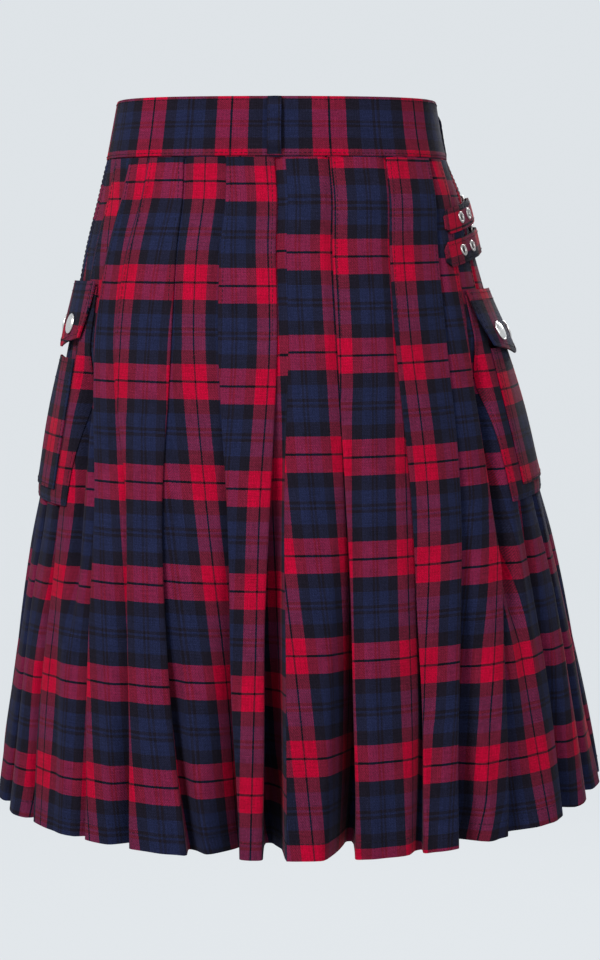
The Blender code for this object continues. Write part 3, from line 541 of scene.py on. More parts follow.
def facing(centre, along, down):
    """A frame at a point: local Z looks out of the cloth there, and local X runs along it."""
    along = Vector(along).normalized()
    normal = Vector(down).cross(along).normalized()
    turned = Matrix((along, -along.cross(normal), normal)).transposed().to_4x4()
    return Matrix.Translation(Vector(centre)) @ turned


def weave_map(across, down):
    return np.stack(as_arrays(across, down), axis=-1)


def cloth(node, points, weave, thickness, material=TARTAN, **sheet):
    """A piece of cloth with its wall, standing for its solid. The sheet keywords, which say how it was cut and
    what holds it, are not used.
    """
    made = make_object(node + "_cloth", grid_mesh(node + "_cloth", points, weave), material, node)
    wall = made.modifiers.new("wall", "SOLIDIFY")
    wall.thickness = thickness
    wall.offset = 0.0
    wall.use_rim = True
    wall.use_quality_normals = True
    apply_modifiers(made)
    return made


def running_mean(values, reach):
    kernel = np.ones(2 * reach + 1) / (2 * reach + 1)
    return np.convolve(np.pad(values, reach, mode="edge"), kernel, mode="valid")


# ---------------------------------------------------------------- stitches

STITCH = 0.0028
STITCH_GAP = 0.0012
THREAD_HALF = 0.00020
STITCH_RINGS = ((-0.5, -0.5), (-0.30, 0.75), (0.30, 0.75), (0.5, -0.5))    # along, height in thread widths
LOOK_IN = 0.003             # a surface's outward direction is read over this depth
BESIDE = 0.0015             # and the cloth's slopes over twice this distance


def stitch_points(path, normals):
    """Places a row of stitches on a path, each a short thread that dives into the cloth at its ends."""
    along = travelled(path)
    count = int(along[-1] / (STITCH + STITCH_GAP))
    centres = (np.arange(count) + 0.5) * along[-1] / max(count, 1)

    def read(values, places):
        return np.column_stack([np.interp(places, along, column) for column in np.asarray(values).T])

    middle = read(path, centres)
    forward = unit(read(path, centres + STITCH / 2) - read(path, centres - STITCH / 2))
    outward = unit(read(normals, centres))
    sideways = np.cross(forward, outward)
    rings = []
    for share, height in STITCH_RINGS:
        centre = middle + forward * share * STITCH + outward * height * THREAD_HALF
        corners = [centre + sideways * THREAD_HALF * math.cos(turn) + outward * THREAD_HALF * math.sin(turn)
                   for turn in (0.0, math.pi / 2, math.pi, 3 * math.pi / 2)]
        rings.append(np.stack(corners, axis=1))
    return np.stack(rings, axis=1)


def stitch_object(name, runs):
    """One mesh for several rows of stitches; each row is a path and the cloth's normals along it."""
    made = np.concatenate([stitch_points(path, normals) for path, normals in runs])
    sides = [(4 * nearer, corner, (corner + 1) % 4) for nearer in range(3) for corner in range(4)]
    quads = np.array([(base + here, base + other, base + 4 + other, base + 4 + here)
                      for base, here, other in sides])
    faces = np.arange(len(made))[:, None, None] * 16 + quads
    mesh = mesh_from(name + "_stitches", made, faces.reshape(-1, 4))
    mesh.shade_smooth()
    make_object(name + "_stitches", mesh, DARK_THREAD)


def run_on_cloth(around, drop, out):
    """A row of stitches laid on creased cloth: its path and the outward directions beside it."""
    around, drop, out = as_arrays(around, drop, out)
    side = cloth_at(around + BESIDE, drop, out) - cloth_at(around - BESIDE, drop, out)
    down = cloth_at(around, drop + BESIDE, out) - cloth_at(around, drop - BESIDE, out)
    return cloth_at(around, drop, out), np.cross(down, side)


def run_on(surface, *where, out):
    """The same on a surface given by a function, whose last argument is how far out it lies."""
    path = surface(*where, out)
    return path, path - surface(*where, out - LOOK_IN)


# ---------------------------------------------------------------- pleats

SCENE_CLOTH = 0.0009
ON_CLOTH = SCENE_CLOTH / 2 + 0.0001                 # how far out a thread lies
SKIRT_DROPS = np.concatenate((np.linspace(BAND_SEAM_GAP, HIP_DROP, 26),
                              np.linspace(HIP_DROP, SKIRT_DROP, 52)[1:]))
EDGE_STITCHES = 0.0034
HEM_STITCH_DROP = SKIRT_DROP - 0.013
PER_PLEAT = 7               # points of a section that belong to each pleat
FOLD_COLUMNS = (8, 3, 9, 4, 4, 9, 6)                # columns from a face's middle through a fold to the next
FOLD_PULLS = (0.7, 0.0, -0.5, 0.0, 0.0, 0.0, 0.3)   # and how they are drawn together
EDGE_COLUMNS = 5
LINE_STEP = 0.0005
SEAM_ALLOWANCE = 0.006
OPEN_EDGE = 0.004           # the edge of an opened fold, which hides the rest of its cloth
COUNT_DROP = 0.50           # whole repeats hidden in the pleats are counted here
# Pleats that are pressed so flat in their sewn part that they only show from this drop down.
PRESSED_PLEATS = {"left_outer": 0.150, "left_shallow": 0.160, "left_pocket": 0.150, "right_shallow": 0.130}
HELD_BACK = {"left_ridge": 0.0120}                  # more cloth stays behind this pleat's edge
# A panel that turns to the viewer near the hem, named by the pleat before it, shows less of the weave.
EASED = {"left_outer": 0.18}
EASED_FROM = 0.010          # metres along the cloth from the panel's stripe

Half = namedtuple("Half", "pleats first_index start finish stripes wefts pulls")


def freed(drop):
    """How far down the released part of the pleats a drop lies: 0 at the hip, 1 at the hem."""
    return max(0.0, (drop - HIP_DROP) / (SKIRT_DROP - HIP_DROP))


def pleat_at(pleat, drop, index=0):
    """A pleat's sizes at a drop, in metres. Open folds wander a little, each in its own way."""
    free = freed(drop)
    opening = free**1.3
    pressed = PRESSED_PLEATS.get(pleat.name, -1.0)
    shows = smooth_step(drop, pressed, pressed + 0.06)
    tuck = pleat.tuck_seam + (pleat.tuck_hip - pleat.tuck_seam) * min(drop / HIP_DROP, 1.0)
    tuck = (tuck + (pleat.tuck_hem - pleat.tuck_hip) * free) * (0.1 + 0.9 * shows)
    layer = LAYER * (0.15 + 0.85 * shows)
    return SimpleNamespace(
        edge=at_level(pleat.edges, drop) + free * 0.9 * MM * math.sin(drop * 31.0 + 2.1 * index),
        tuck=tuck * MM, layer=layer, folded=np.clip(tuck / 6.0, -1.0, 1.0),
        depth=2 * layer + (pleat.depth * MM - 2 * layer) * opening,
        run=(RISE + (pleat.run - RISE) * opening) * MM,
        shoulder=pleat.shoulder * opening * MM, round=VALLEY_ROUND * opening * MM)


def fold_points(pleat, drop, index):
    """One fold as six (around, out) points, from the covering face to the covered one."""
    p, half = pleat_at(pleat, drop, index), LAYER / 2
    valley = p.tuck - half - 2 * p.round
    toe = min(-TOE * MM, valley - TOE_STEP * MM)
    end = min(-p.run + min(0.0, p.tuck), toe - END_STEP * MM)
    toe_depth = p.shoulder + (p.depth - p.shoulder) * (toe - end) / (valley - end)
    toe_depth = min(max(toe_depth, 2 * p.layer), p.depth)
    steps = ((half, 0.0), (half * (1 - p.folded) * 0.5, -p.layer), (p.tuck - half, -p.depth + p.layer),
             (valley, -p.depth), (toe, -toe_depth), (end, -p.shoulder))
    return [(p.edge - pleat.lean * step, out) for step, out in steps][::pleat.lean]


def section(half, drop, gap=0.0):
    """The section of a pleated length, and how far along it each point lies.

    It has a start, a middle point and six fold points for each pleat, a last middle point and an end.
    """
    finish = at_level(half.finish, drop) - gap
    line = [(at_level(half.start, drop) + gap, 0.0)]
    for index, pleat in enumerate(half.pleats, half.first_index):
        points = fold_points(pleat, drop, index)
        line.append(((line[-1][0] + points[0][0]) / 2, (line[-1][1] + points[0][1]) / 2))
        line += points
    line.append(((line[-1][0] + finish) / 2, line[-1][1] * 0.85))
    line.append((finish, 0.0))
    return np.array(line), travelled(line)


def panel_spans(half, line, along, drop):
    """Each panel's first and last shown point, and how far its points lie from its stripe along the cloth."""
    spans = []
    for panel, stripe in enumerate(half.stripes):
        first = PER_PLEAT * panel - 1 if panel else 0
        last = PER_PLEAT * panel + (3 if panel < len(half.pleats) else 2)
        around, shown = line[first:last + 1, 0], along[first:last + 1]
        target = at_level(stripe, drop)
        past = target - np.clip(target, around[0], around[-1])
        spans.append((first, last, shown - np.interp(target, np.maximum.accumulate(around), shown) - past))
    return spans


def hidden_repeats(half):
    """How many whole repeats the pleats hide before each panel."""
    line, along = section(half, COUNT_DROP)
    spans = panel_spans(half, line, along, COUNT_DROP)
    counts = [0]
    for (_, last, before), (first, _, after) in zip(spans, spans[1:]):
        hidden = along[first] - along[last] - (after[0] - before[-1])
        counts.append(counts[-1] + max(0, round(hidden / WARP_REPEAT)))
    return counts


def weft_shift(phases, pull, drop):
    """How far below the waist seam a panel's weft bands start at a drop, in metres."""
    drawn = pull * MM * math.exp(-(drop / PULL_REACH)**2)
    return at_level(phases, drop) + np.interp(drop / MM, *zip(*WEFT_BEND)) * MM + drawn


def opened(pleat, length, drop):
    """How much of the cloth behind a pleat's edge comes into view as its fold opens."""
    closed = smooth_step(pleat_at(pleat, drop).tuck, -0.002, 0.006)
    if pleat.name in HELD_BACK:
        closed *= 1 - smooth_step(drop, 0.25, 0.40)
    return max(0.0, (length - OPEN_EDGE) * (1 - closed))


def weave_knots(half, counts, line, along, drop):
    """Points along a row, their places across the weave, and how far its bands have shifted there.

    Both are known on the panels, and drawn evenly through what the folds hide.
    """
    knots = []
    for panel, (first, last, distance) in enumerate(panel_spans(half, line, along, drop)):
        shift = weft_shift(half.wefts[panel], half.pulls[panel], drop)
        before, after = ([None] + half.pleats + [None])[panel:panel + 2]
        name = before.name if before else ""
        eased = 1 - EASED.get(name, 0.0) * smooth_step(drop, 0.40, 0.55)
        across = np.minimum(distance, EASED_FROM) + np.maximum(distance - EASED_FROM, 0.0) * eased
        across += counts[panel] * WARP_REPEAT
        across[:2] += np.array([1.0, 0.5]) * HELD_BACK.get(name, 0.0) * freed(drop)**0.5
        if before and before.lean > 0:                  # the covered side starts behind the edge
            hidden = opened(before, along[first] - along[first - 3], drop)
            knots.append((along[first] - hidden, across[0] - hidden, shift))
        if after and after.lean < 0:
            hidden = opened(after, along[last + 3] - along[last], drop)
            knots.append((along[last] + hidden, across[-1] + hidden, shift))
        knots += [(along[first + k], across[k], shift) for k in range(last - first + 1)]
    return np.array(sorted(knots)).T


def smoothed(values, width):
    """Values at an even spacing, smoothed over a width in millimetres, with their ends kept."""
    reach = int(math.ceil(3.2 * width * MM / LINE_STEP))
    kernel = np.exp(-0.5 * (np.arange(-reach, reach + 1) * LINE_STEP / (width * MM))**2)
    before = 2 * values[0] - values[reach:0:-1]
    after = 2 * values[-1] - values[-2:-reach - 2:-1]
    return np.convolve(np.concatenate((before, values, after)), kernel / kernel.sum(), mode="valid")


def dense_line(half, line, along, drop):
    """A row as a dense line, crowned between the folds, rounded at them and turned in at both ends."""
    free = freed(drop)
    dense = np.arange(0.0, along[-1] + LINE_STEP, LINE_STEP)
    around, out = (np.interp(dense, along, column) for column in line.T)
    for panel in range(len(half.stripes)):
        low, high = along[PER_PLEAT * panel], along[PER_PLEAT * panel + 2]
        if high - low >= 0.006:
            t = np.clip((dense - low) / (high - low), 0.0, 1.0)
            crown = min(1.0, (high - low) / 0.04) * (0.25 + 2.6 * free * (0.8 + 0.3 * math.sin(3.7 * panel)))
            out += crown * MM * 4 * t * (1 - t)
    inward = -np.arange(LINE_STEP, SEAM_ALLOWANCE + LINE_STEP / 2, LINE_STEP)
    around, out = np.pad(around, len(inward), mode="edge"), np.concatenate((inward[::-1], out, inward))
    dense = (np.arange(len(around)) - len(inward)) * LINE_STEP
    from_seams = dense, dense - dense[-1 - len(inward)]
    near_seam = sum(np.exp(-(distance / SEAM_ALLOWANCE)**2) for distance in from_seams).clip(0, 1)
    soft = 0.55 + 2.3 * free**1.2
    return dense, *(smoothed(values, soft) * (1 - near_seam) + smoothed(values, 0.5) * near_seam
                    for values in (around, out))


def column_shares(count, pull):
    """Places from 0 to 1, leaving out 1, drawn together at the end (pull above 0) or at the start."""
    t = np.arange(count) / count
    return 1 - (1 - t)**(1 + pull) if pull >= 0 else t**(1 - pull)


def row_columns(half, along):
    """Where the columns of the mesh lie along a row, the same number in each row."""
    columns = [along[0] + (along[1] - along[0]) * column_shares(EDGE_COLUMNS, 0.0)]
    for i, pleat in enumerate(half.pleats):
        for k, (number, pull) in enumerate(list(zip(FOLD_COLUMNS, FOLD_PULLS))[::pleat.lean]):
            low, high = along[PER_PLEAT * i + 1 + k:][:2]
            columns.append(low + (high - low) * column_shares(number, pull * pleat.lean))
    columns.append(np.linspace(along[-2], along[-1], EDGE_COLUMNS))
    turned_in = np.array([0.25, 0.6, 1.0]) * SEAM_ALLOWANCE
    return np.concatenate([along[0] - turned_in[::-1], *columns, along[-1] + turned_in])


def pleated_row(half, counts, drop):
    """One row of a pleated length: its (around, out) points and its place in the weave."""
    line, along = section(half, drop, SEAM_GAP / 2)
    dense, around, out = dense_line(half, line, along, drop)
    columns = row_columns(half, along)
    places, across, shift = weave_knots(half, counts, line, along, drop)
    past = columns - np.clip(columns, 0.0, along[-1])
    weave = weave_map(np.interp(columns, places, across) + past, drop - np.interp(columns, places, shift))
    return np.interp(columns, dense, around), np.interp(columns, dense, out), weave


def make_skirt(name, half, flat, area):
    counts = hidden_repeats(half)
    rows = [pleated_row(half, counts, drop) for drop in SKIRT_DROPS]
    around, out, weave = (np.array(part) for part in zip(*rows))
    cloth(name, cloth_at(around, SKIRT_DROPS[:, None], out), weave, SCENE_CLOTH,
          flat=flat, held="gathered", rests_on=["waistband"], area=area)

    # edge stitching down the sewn part of each pleat, and one row above the hem
    drops = np.linspace(0.004, 0.149, 40)
    runs = [run_on_cloth(at_level(pleat.edges, drops) - pleat.lean * EDGE_STITCHES, drops, ON_CLOTH)
            for pleat in half.pleats]
    around, out, _ = pleated_row(half, counts, HEM_STITCH_DROP)
    path = cloth_at(around, HEM_STITCH_DROP, out)
    outward = unit(np.cross(np.gradient(path, axis=0), (0.0, 0.0, 1.0)))
    runs.append((path + outward * SCENE_CLOTH / 2, outward))
    stitch_object(name, runs)


# ---------------------------------------------------------------- aprons

APRON_COLUMNS = 84
APRON_SAG = 0.004           # of its weft bands, at this distance from the middle
SAG_REACH = 0.2
APRON_STITCHES = (0.0030, 0.0160)


def make_apron(name, side, edge, climb, flat, area, phase):
    """A flat front panel laid from one side. Its stripes stand parallel to the middle of the front."""
    def ends(drop):
        return side * at_level(APRON_SEAM, drop), side * (2 * half_round(drop) - at_level(edge, drop))

    drops = SKIRT_DROPS[:, None]
    share = np.linspace(0.0, 1.0, APRON_COLUMNS)[::side]
    seam, free_edge = ends(drops)
    seam = seam + side * SEAM_GAP / 2
    around = seam + (free_edge - seam) * share
    across = around - side * half_round(drops)
    sag = APRON_SAG * (across / SAG_REACH)**2 * drops / SKIRT_DROP
    cloth(name, cloth_at(around, drops, climb * np.minimum(1.0, share / APRON_CLIMB)),
          weave_map(across, drops - phase * MM - sag), SCENE_CLOTH,
          flat=flat, held="hung", rests_on=["waistband"], area=area)

    drops = np.linspace(0.004, SKIRT_DROP - 0.003, 120)
    runs = [run_on_cloth(ends(drops)[1] - side * inset, drops, climb + ON_CLOTH) for inset in APRON_STITCHES]
    low, high = sorted(ends(HEM_STITCH_DROP))
    runs.append(run_on_cloth(np.linspace(low + 0.003, high - 0.003, 160), HEM_STITCH_DROP, climb + ON_CLOTH))
    stitch_object(name, runs)


# ---------------------------------------------------------------- waistband

BAND_COLUMNS = 330
BAND_HALF = 0.00098
BAND_BOTTOM, BAND_TOP = -0.0012, -BAND_HEIGHT + 0.0011      # drops where its faces turn into its rounded edges
EDGE_ROUND = 0.0010
LAP_RUN = 0.028
# The band is cut across the cloth. Its stripe middles round the waist, in millimetres.
BAND_STRIPES = (-108, -37, 45, 127)
BAND_TOP_SHARE = 0.87       # its checks are stretched this little along the band's height
BAND_RED_HEIGHT = 0.0057


def waist_scale(drop):
    return half_round(drop) / half_round(0.0)


def band_point(around, drop, out):
    """A point of the band; around is measured at the waist seam."""
    ripple = 0.00025 * np.sin(around / 0.0031 + 2.0 * np.sin(around / 0.017)) * np.exp(-np.abs(drop) / 0.006)
    ripple = ripple + 0.0006 * np.sin(around / 0.047 + 1.1) * np.exp(-((drop + 0.03) / 0.02)**2)
    return place(around * waist_scale(drop), drop, out + ripple)


def band_weave(around, drop):
    """The band's place in the weave: its length runs along the weft repeat."""
    places = np.array(BAND_STRIPES) * MM
    along = np.interp(around, places, np.arange(len(places)) * WEFT_REPEAT)
    return weave_map((-drop - BAND_RED_HEIGHT) * BAND_TOP_SHARE + SETT_CENTRE * WARP_PITCH,
                     along + around - np.clip(around, places[0], places[-1]))


def make_waistband():
    whole = 2 * half_round(0.0)
    around = np.linspace(at_level(OVER_APRON_EDGE, 0.0) - whole, whole - at_level(UNDER_APRON_EDGE, 0.0),
                         BAND_COLUMNS)
    lift = APRON_LIFT * np.clip((-at_level(APRON_SEAM, 0.0) - around) / LAP_RUN, 0.0, 1.0)
    # its outline, up the outside and down the inside
    face, back = np.linspace(BAND_BOTTOM, BAND_TOP, 12), np.linspace(BAND_TOP, BAND_BOTTOM, 9)
    turns = np.radians((30, 60, 90, 120, 150))
    swell = 0.0002 * np.sin(math.pi * np.clip((-face - 0.003) / (BAND_HEIGHT - 0.006), 0.0, 1.0))
    drops = np.concatenate((face, BAND_TOP - EDGE_ROUND * np.sin(turns),
                            back, BAND_BOTTOM + EDGE_ROUND * np.sin(turns)))
    outs = np.concatenate((BAND_HALF + swell, BAND_HALF * np.cos(turns),
                           np.full(len(back), -BAND_HALF), BAND_HALF * np.cos(turns[::-1])))
    # rows go round the outline, so the grid is closed that way
    drops, outs = (np.append(values[::-1], values[-1])[:, None] for values in (drops, outs))
    mesh = grid_mesh("waistband_cloth", band_point(around, drops, lift + outs), band_weave(around, drops))
    close_up(mesh, 0.00001)
    mesh.set_sharp_from_angle(angle=math.radians(60))
    made = make_object("waistband_cloth", mesh, BAND, "waistband")
    stitch_object("waistband", [run_on(band_point, around, drop, out=lift + BAND_HALF + 0.00015)
                                for drop in (-0.0026, -BAND_HEIGHT + 0.0028)])


# ---------------------------------------------------------------- belt loops

LOOP_WIDTH = 0.011
LOOP_CLOTH = 0.0016
LOOP_STAND = 0.0030
LOOP_BASE = BAND_CLOTH / 2 + SEAM_GAP + LOOP_CLOTH / 2
LOOP_FACE = LOOP_BASE + LOOP_CLOTH * 0.43
LOOP_PLACES = {"back": -0.0010, "left": -0.2380, "right": 0.2320}
LOOP_LINE = (               # drop, and share of the stand
    (-0.0490, 0.0), (-0.0450, 0.0), (-0.0425, 0.5), (-0.0400, 1.0), (-0.0300, 1.0),
    (-0.0190, 1.0), (-0.0090, 1.0), (-0.0065, 0.5), (-0.0040, 0.0), (-0.0005, 0.0),
)
LOOP_WEAVE = (0.0225, 0.0175 + BAND_HEIGHT)
LOOP_RIDGE = 0.72           # its side stitches, as a share of half its width
BAR_TACK_DROPS = (-0.0468, -0.0461, -0.0454, -0.0032, -0.0025, -0.0018)


def make_belt_loop(name, around):
    """A strip folded in three, with its raw edges turned under and a row of stitches along each side."""
    def surface(side, drop, out):
        return place(around * waist_scale(drop) + side * LOOP_WIDTH / 2, drop, out)

    drops, stands = np.array(LOOP_LINE).T
    fine = np.linspace(drops[0], drops[-1], 46)
    stand = LOOP_STAND * running_mean(np.interp(fine, drops, stands), 2)
    drop, side = np.meshgrid(fine, np.linspace(-1.0, 1.0, 13), indexing="ij")
    crown = 0.00035 * (1 - side**4) - 0.00012 * np.exp(-((np.abs(side) - LOOP_RIDGE) / 0.12)**2)
    crown += 0.00010 * np.sin(drop / 0.0011 + 3 * side)
    cloth("belt_loop_" + name, surface(side, drop, LOOP_BASE + stand[:, None] + crown),
          weave_map(LOOP_WEAVE[0] + side * LOOP_WIDTH / 2, LOOP_WEAVE[1] + drop), LOOP_CLOTH * 0.85, TRIM,
          flat=(LOOP_WIDTH, 0.052), held="stretched", rests_on=["waistband"])
    runs = [run_on(surface, side, fine, out=LOOP_FACE + stand + 0.0001) for side in (-LOOP_RIDGE, LOOP_RIDGE)]
    runs += [run_on(surface, np.linspace(-0.85, 0.85, 7), drop, out=LOOP_FACE + 0.0002)
             for drop in BAR_TACK_DROPS]
    stitch_object("belt_loop_" + name, runs)


# ---------------------------------------------------------------- pockets

POCKET_REAR = (146, 176, 202, 226, 250)
POCKET_FRONT = (262, 306, 338, 372, 405)
POCKET_CLOTH = 0.0012
POCKET_BOTTOM = 0.2940
POCKET_MOUTH = 0.1720
POCKET_STAND = 0.0048
GUSSET_WIDTH = 0.0180
GUSSET_BOTTOM_WIDTH = 0.0120
GUSSET_START = 0.0040
GUSSET_SEAT = CLOTH / 2 + SEAT_GAP + POCKET_CLOTH / 2 + SEAM_GAP
GUSSET_RISE = POCKET_STAND - POCKET_CLOTH - SEAM_GAP - GUSSET_SEAT
GUSSET_TOP_SHARE = 0.25
FLAP_CLOTH = 0.0016
FLAP_SIDE = 0.0480
FLAP_POINT = 0.0100
FLAP_TAPER = 0.0110
FLAP_REACH = 0.8
FLAP_CLEAR = 0.0006
FLAP_SEAT = GUSSET_SEAT + GUSSET_RISE * GUSSET_TOP_SHARE + (POCKET_CLOTH + FLAP_CLOTH) / 2 + 2 * SEAM_GAP
FLAP_OVER_POCKET = POCKET_STAND + (POCKET_CLOTH + FLAP_CLOTH) / 2 + FLAP_CLEAR
SNAP_RADIUS = 0.0085
SNAP_HEIGHT = 0.0030
SNAP_INSET = 0.0260
SNAP_ABOVE_EDGE = 0.0150
SNAP_SEAT_GAP = 0.0004
# side of the kilt, drop of the flap's seam, how far its edge flares and how much higher the mouth lies
POCKETS = {"left": (-1, 0.1060, 0.0000, 0.0), "right": (1, 0.1150, 0.0055, 0.0060)}
# Where the cloth of each piece was cut: stripe middle across from the rear edge, band middle below
# the waist seam, in millimetres.
POCKET_WEAVE = {"left": {"front": (40, 238), "gusset": (17, 183), "flap": (3, 158)},
                "right": {"front": (26, 201), "gusset": (-2, 184), "flap": (30, 190)}}
# rows of stitches on the flap, across and down
FLAP_RUNS = ((0.035, np.linspace(0.02, 0.92, 30)), (0.965, np.linspace(0.02, 0.92, 30)),
             (np.linspace(0.035, 0.965, 60), 0.92), (np.linspace(0.01, 0.99, 60), 0.05),
             (np.linspace(0.01, 0.99, 60), 0.16))
# Shares of the snap's radius and height: a flat dome inside a rolled rim.
SNAP_PROFILE = ((0.0, 1.0), (0.20, 0.99), (0.40, 0.95), (0.58, 0.87), (0.72, 0.74), (0.80, 0.60), (0.83, 0.50),
                (0.86, 0.47), (0.90, 0.55), (0.94, 0.58), (0.98, 0.50), (1.0, 0.34), (0.99, 0.16), (0.95, 0.0),
                (0.0, 0.0))


class Pocket:
    """A bellows pocket. A place across it runs from its rear edge (0) to its front edge (1)."""

    def __init__(self, name):
        self.node = "pocket_" + name + "_"
        self.skirt = "skirt_" + name + "_cloth"
        self.cut = POCKET_WEAVE[name]
        self.side, self.top, self.flare, self.rise = POCKETS[name]
        self.mouth = POCKET_MOUTH - self.rise
        self.width = float(at_level(POCKET_FRONT, POCKET_MOUTH) - at_level(POCKET_REAR, POCKET_MOUTH))
        self.inner = GUSSET_WIDTH / self.width
        self.low = POCKET_BOTTOM - GUSSET_BOTTOM_WIDTH
        self.gusset_top = self.top + GUSSET_START

    def around(self, across, drop):
        rear, front = at_level(POCKET_REAR, drop), at_level(POCKET_FRONT, drop)
        return self.side * (rear + (front - rear) * across)

    def piece(self, kind, around, drop, out, thickness, rests_on, **sheet):
        """A piece of the pocket, its grain upright beside the pocket's rear edge."""
        stripe, band = self.cut[kind]
        across = self.side * around - at_level(POCKET_REAR, drop)
        cloth(self.node + kind, cloth_at(around, drop, out),
              weave_map(self.side * (across - stripe * MM), drop - band * MM), thickness,
              rests_on=[rests_on], **sheet)

    def make_gusset(self):
        """The folded strip that joins the front panel to the skirt, down one side and up the other."""
        def edge(inset, low):
            sides = np.linspace(self.gusset_top, low, 36)
            over = np.linspace(inset, 1 - inset, 26)[1:-1]
            return (np.concatenate((np.full(36, inset), over, np.full(36, 1 - inset))),
                    np.concatenate((sides, np.full(len(over), low), sides[::-1])))

        (outer, outer_drop), (inside, inside_drop) = edge(0.0, POCKET_BOTTOM), edge(self.inner, self.low)
        share = np.linspace(0.0, 1.0, 11)[::-self.side, None]
        drop = outer_drop + (inside_drop - outer_drop) * share
        filled = np.clip((inside_drop - self.gusset_top) / (POCKET_MOUTH - self.gusset_top), 0.0, 1.0)
        rise = GUSSET_RISE * (GUSSET_TOP_SHARE + (1 - GUSSET_TOP_SHARE) * filled)
        out = GUSSET_SEAT + rise * smooth_step(share, -0.15, 0.9) + 0.0003 * np.sin(math.pi * share)
        self.piece("gusset", self.around(outer + (inside - outer) * share, drop), drop, out, 0.0010,
                   flat=(0.52, 0.022), held="folded", rests_on=self.skirt)

    def front_at(self, across, drop):
        """The place of points on the front panel, which is a little fuller in its middle."""
        x = (across - self.inner) / (1 - 2 * self.inner)
        y = (drop - self.mouth) / (self.low - self.mouth)
        arch = np.sin(np.pi * x)
        full = 0.0016 * arch**0.6 * (1 - 0.6 * y) + 0.0006 * np.sin(9 * x + 5 * y) * arch
        full = full * np.sin(np.pi * np.clip(y, 0.02, 0.98))**0.5
        return self.around(across, drop), drop, POCKET_STAND + full

    def make_front(self):
        drop, across = np.meshgrid(np.linspace(self.mouth, self.low, 34),
                                   np.linspace(self.inner, 1 - self.inner, 40)[::self.side], indexing="ij")
        self.piece("front", *self.front_at(across, drop), 0.0011,
                   flat=(self.width - 2 * GUSSET_WIDTH + 0.012, 0.116 + self.rise), held="stretched",
                   rests_on=self.node + "gusset_cloth")

    def flap_at(self, across, down):
        """The place of points on the flap, down from its seam (0) to its edge (1)."""
        drop = self.top + (FLAP_SIDE + FLAP_POINT * (1 - np.abs(2 * across - 1))) * down
        breadth = at_level(POCKET_FRONT, self.top) - at_level(POCKET_REAR, self.top)
        taper = FLAP_TAPER * down**2
        around = at_level(POCKET_REAR, drop) + taper + (breadth - 2 * taper) * across
        out = FLAP_SEAT + (FLAP_OVER_POCKET - FLAP_SEAT) * np.minimum(1.0, down / FLAP_REACH)
        return self.side * around, drop, out + self.flare * down**1.4

    def make_flap(self):
        down, across = np.meshgrid(np.linspace(0.0, 1.0, 24), np.linspace(0.0, 1.0, 44)[::self.side],
                                   indexing="ij")
        around, drop, out = self.flap_at(across, down)
        edge = np.minimum(np.minimum(across, 1 - across) * 130, (1 - down) * 50) * MM
        out = out - 0.00025 * np.exp(-((edge - 0.004) / 0.0012)**2) + 0.0004 * np.sin(across * 11) * down
        self.piece("flap", around, drop, out, 0.0015, flat=(0.122, 0.058), held="stretched",
                   rests_on=self.node + "gusset_cloth")

    def make_stitches(self):
        def run(where, lift):
            around, drop, out = where
            runs.append(run_on_cloth(around, drop, out + lift))

        runs = []
        for across, down in FLAP_RUNS:
            run(self.flap_at(across, down), 0.0009)
        first = self.inner + 0.0030 / self.width
        for across in (first, 1 - first):
            run(self.front_at(across, np.linspace(self.mouth + 0.002, self.low - 0.003, 40)), 0.0006)
        for drop in (self.low - 0.003, self.mouth + 0.004, self.mouth + 0.019):
            run(self.front_at(np.linspace(first, 1 - first, 40), drop), 0.0006)
        bottom = POCKET_BOTTOM - 0.002
        drops = np.linspace(self.gusset_top + 0.003, bottom, 50)
        for across, drop in ((0.012, drops), (0.988, drops), (np.linspace(0.012, 0.988, 50), bottom)):
            run((self.around(across, drop), drop, GUSSET_SEAT), 0.0009)
        stitch_object(self.node[:-1], runs)

    def make_snap(self, end):
        """A snap's cap on the flap, near its rear or its front edge."""
        inset = SNAP_INSET / (at_level(POCKET_FRONT, self.top) - at_level(POCKET_REAR, self.top))
        across = 1 - inset if end == "front" else inset
        down = 1 - SNAP_ABOVE_EDGE / (FLAP_SIDE + FLAP_POINT * (1 - abs(2 * across - 1)))
        around, drop, out = self.flap_at(across, down)
        _, lower_drop, lower_out = self.flap_at(across, down + 0.1)
        step = 0.002
        fall = step * (lower_out - out) / (lower_drop - drop)
        seat = facing(cloth_at(around, drop, out),
                      cloth_at(around + step, drop, out) - cloth_at(around - step, drop, out),
                      cloth_at(around, drop + step, out + fall) - cloth_at(around, drop - step, out - fall))
        profile = [(radius * SNAP_RADIUS, height * SNAP_HEIGHT) for radius, height in SNAP_PROFILE]
        node = self.node + "snap_" + end
        mesh = lathe(node + "_cap", profile, seat @ Matrix.Translation((0, 0, FLAP_CLOTH / 2 + SNAP_SEAT_GAP)))
        make_object(node + "_cap", mesh, SNAP_METAL, node)


def make_pocket(name):
    pocket = Pocket(name)
    pocket.make_gusset()
    pocket.make_front()
    pocket.make_flap()
    pocket.make_stitches()
    for end in ("rear", "front"):
        pocket.make_snap(end)


# ---------------------------------------------------------------- hip straps and buckles

STRAP_WIDTH = 0.022
STRAP_CLOTH = 0.0018
STRAP_TIP = 0.147
STRAP_ROOT = 0.310
STRAP_SLOPE = -0.17
STRAP_CHAMFER = 0.006
CHAMFER_DEPTH = 0.0055
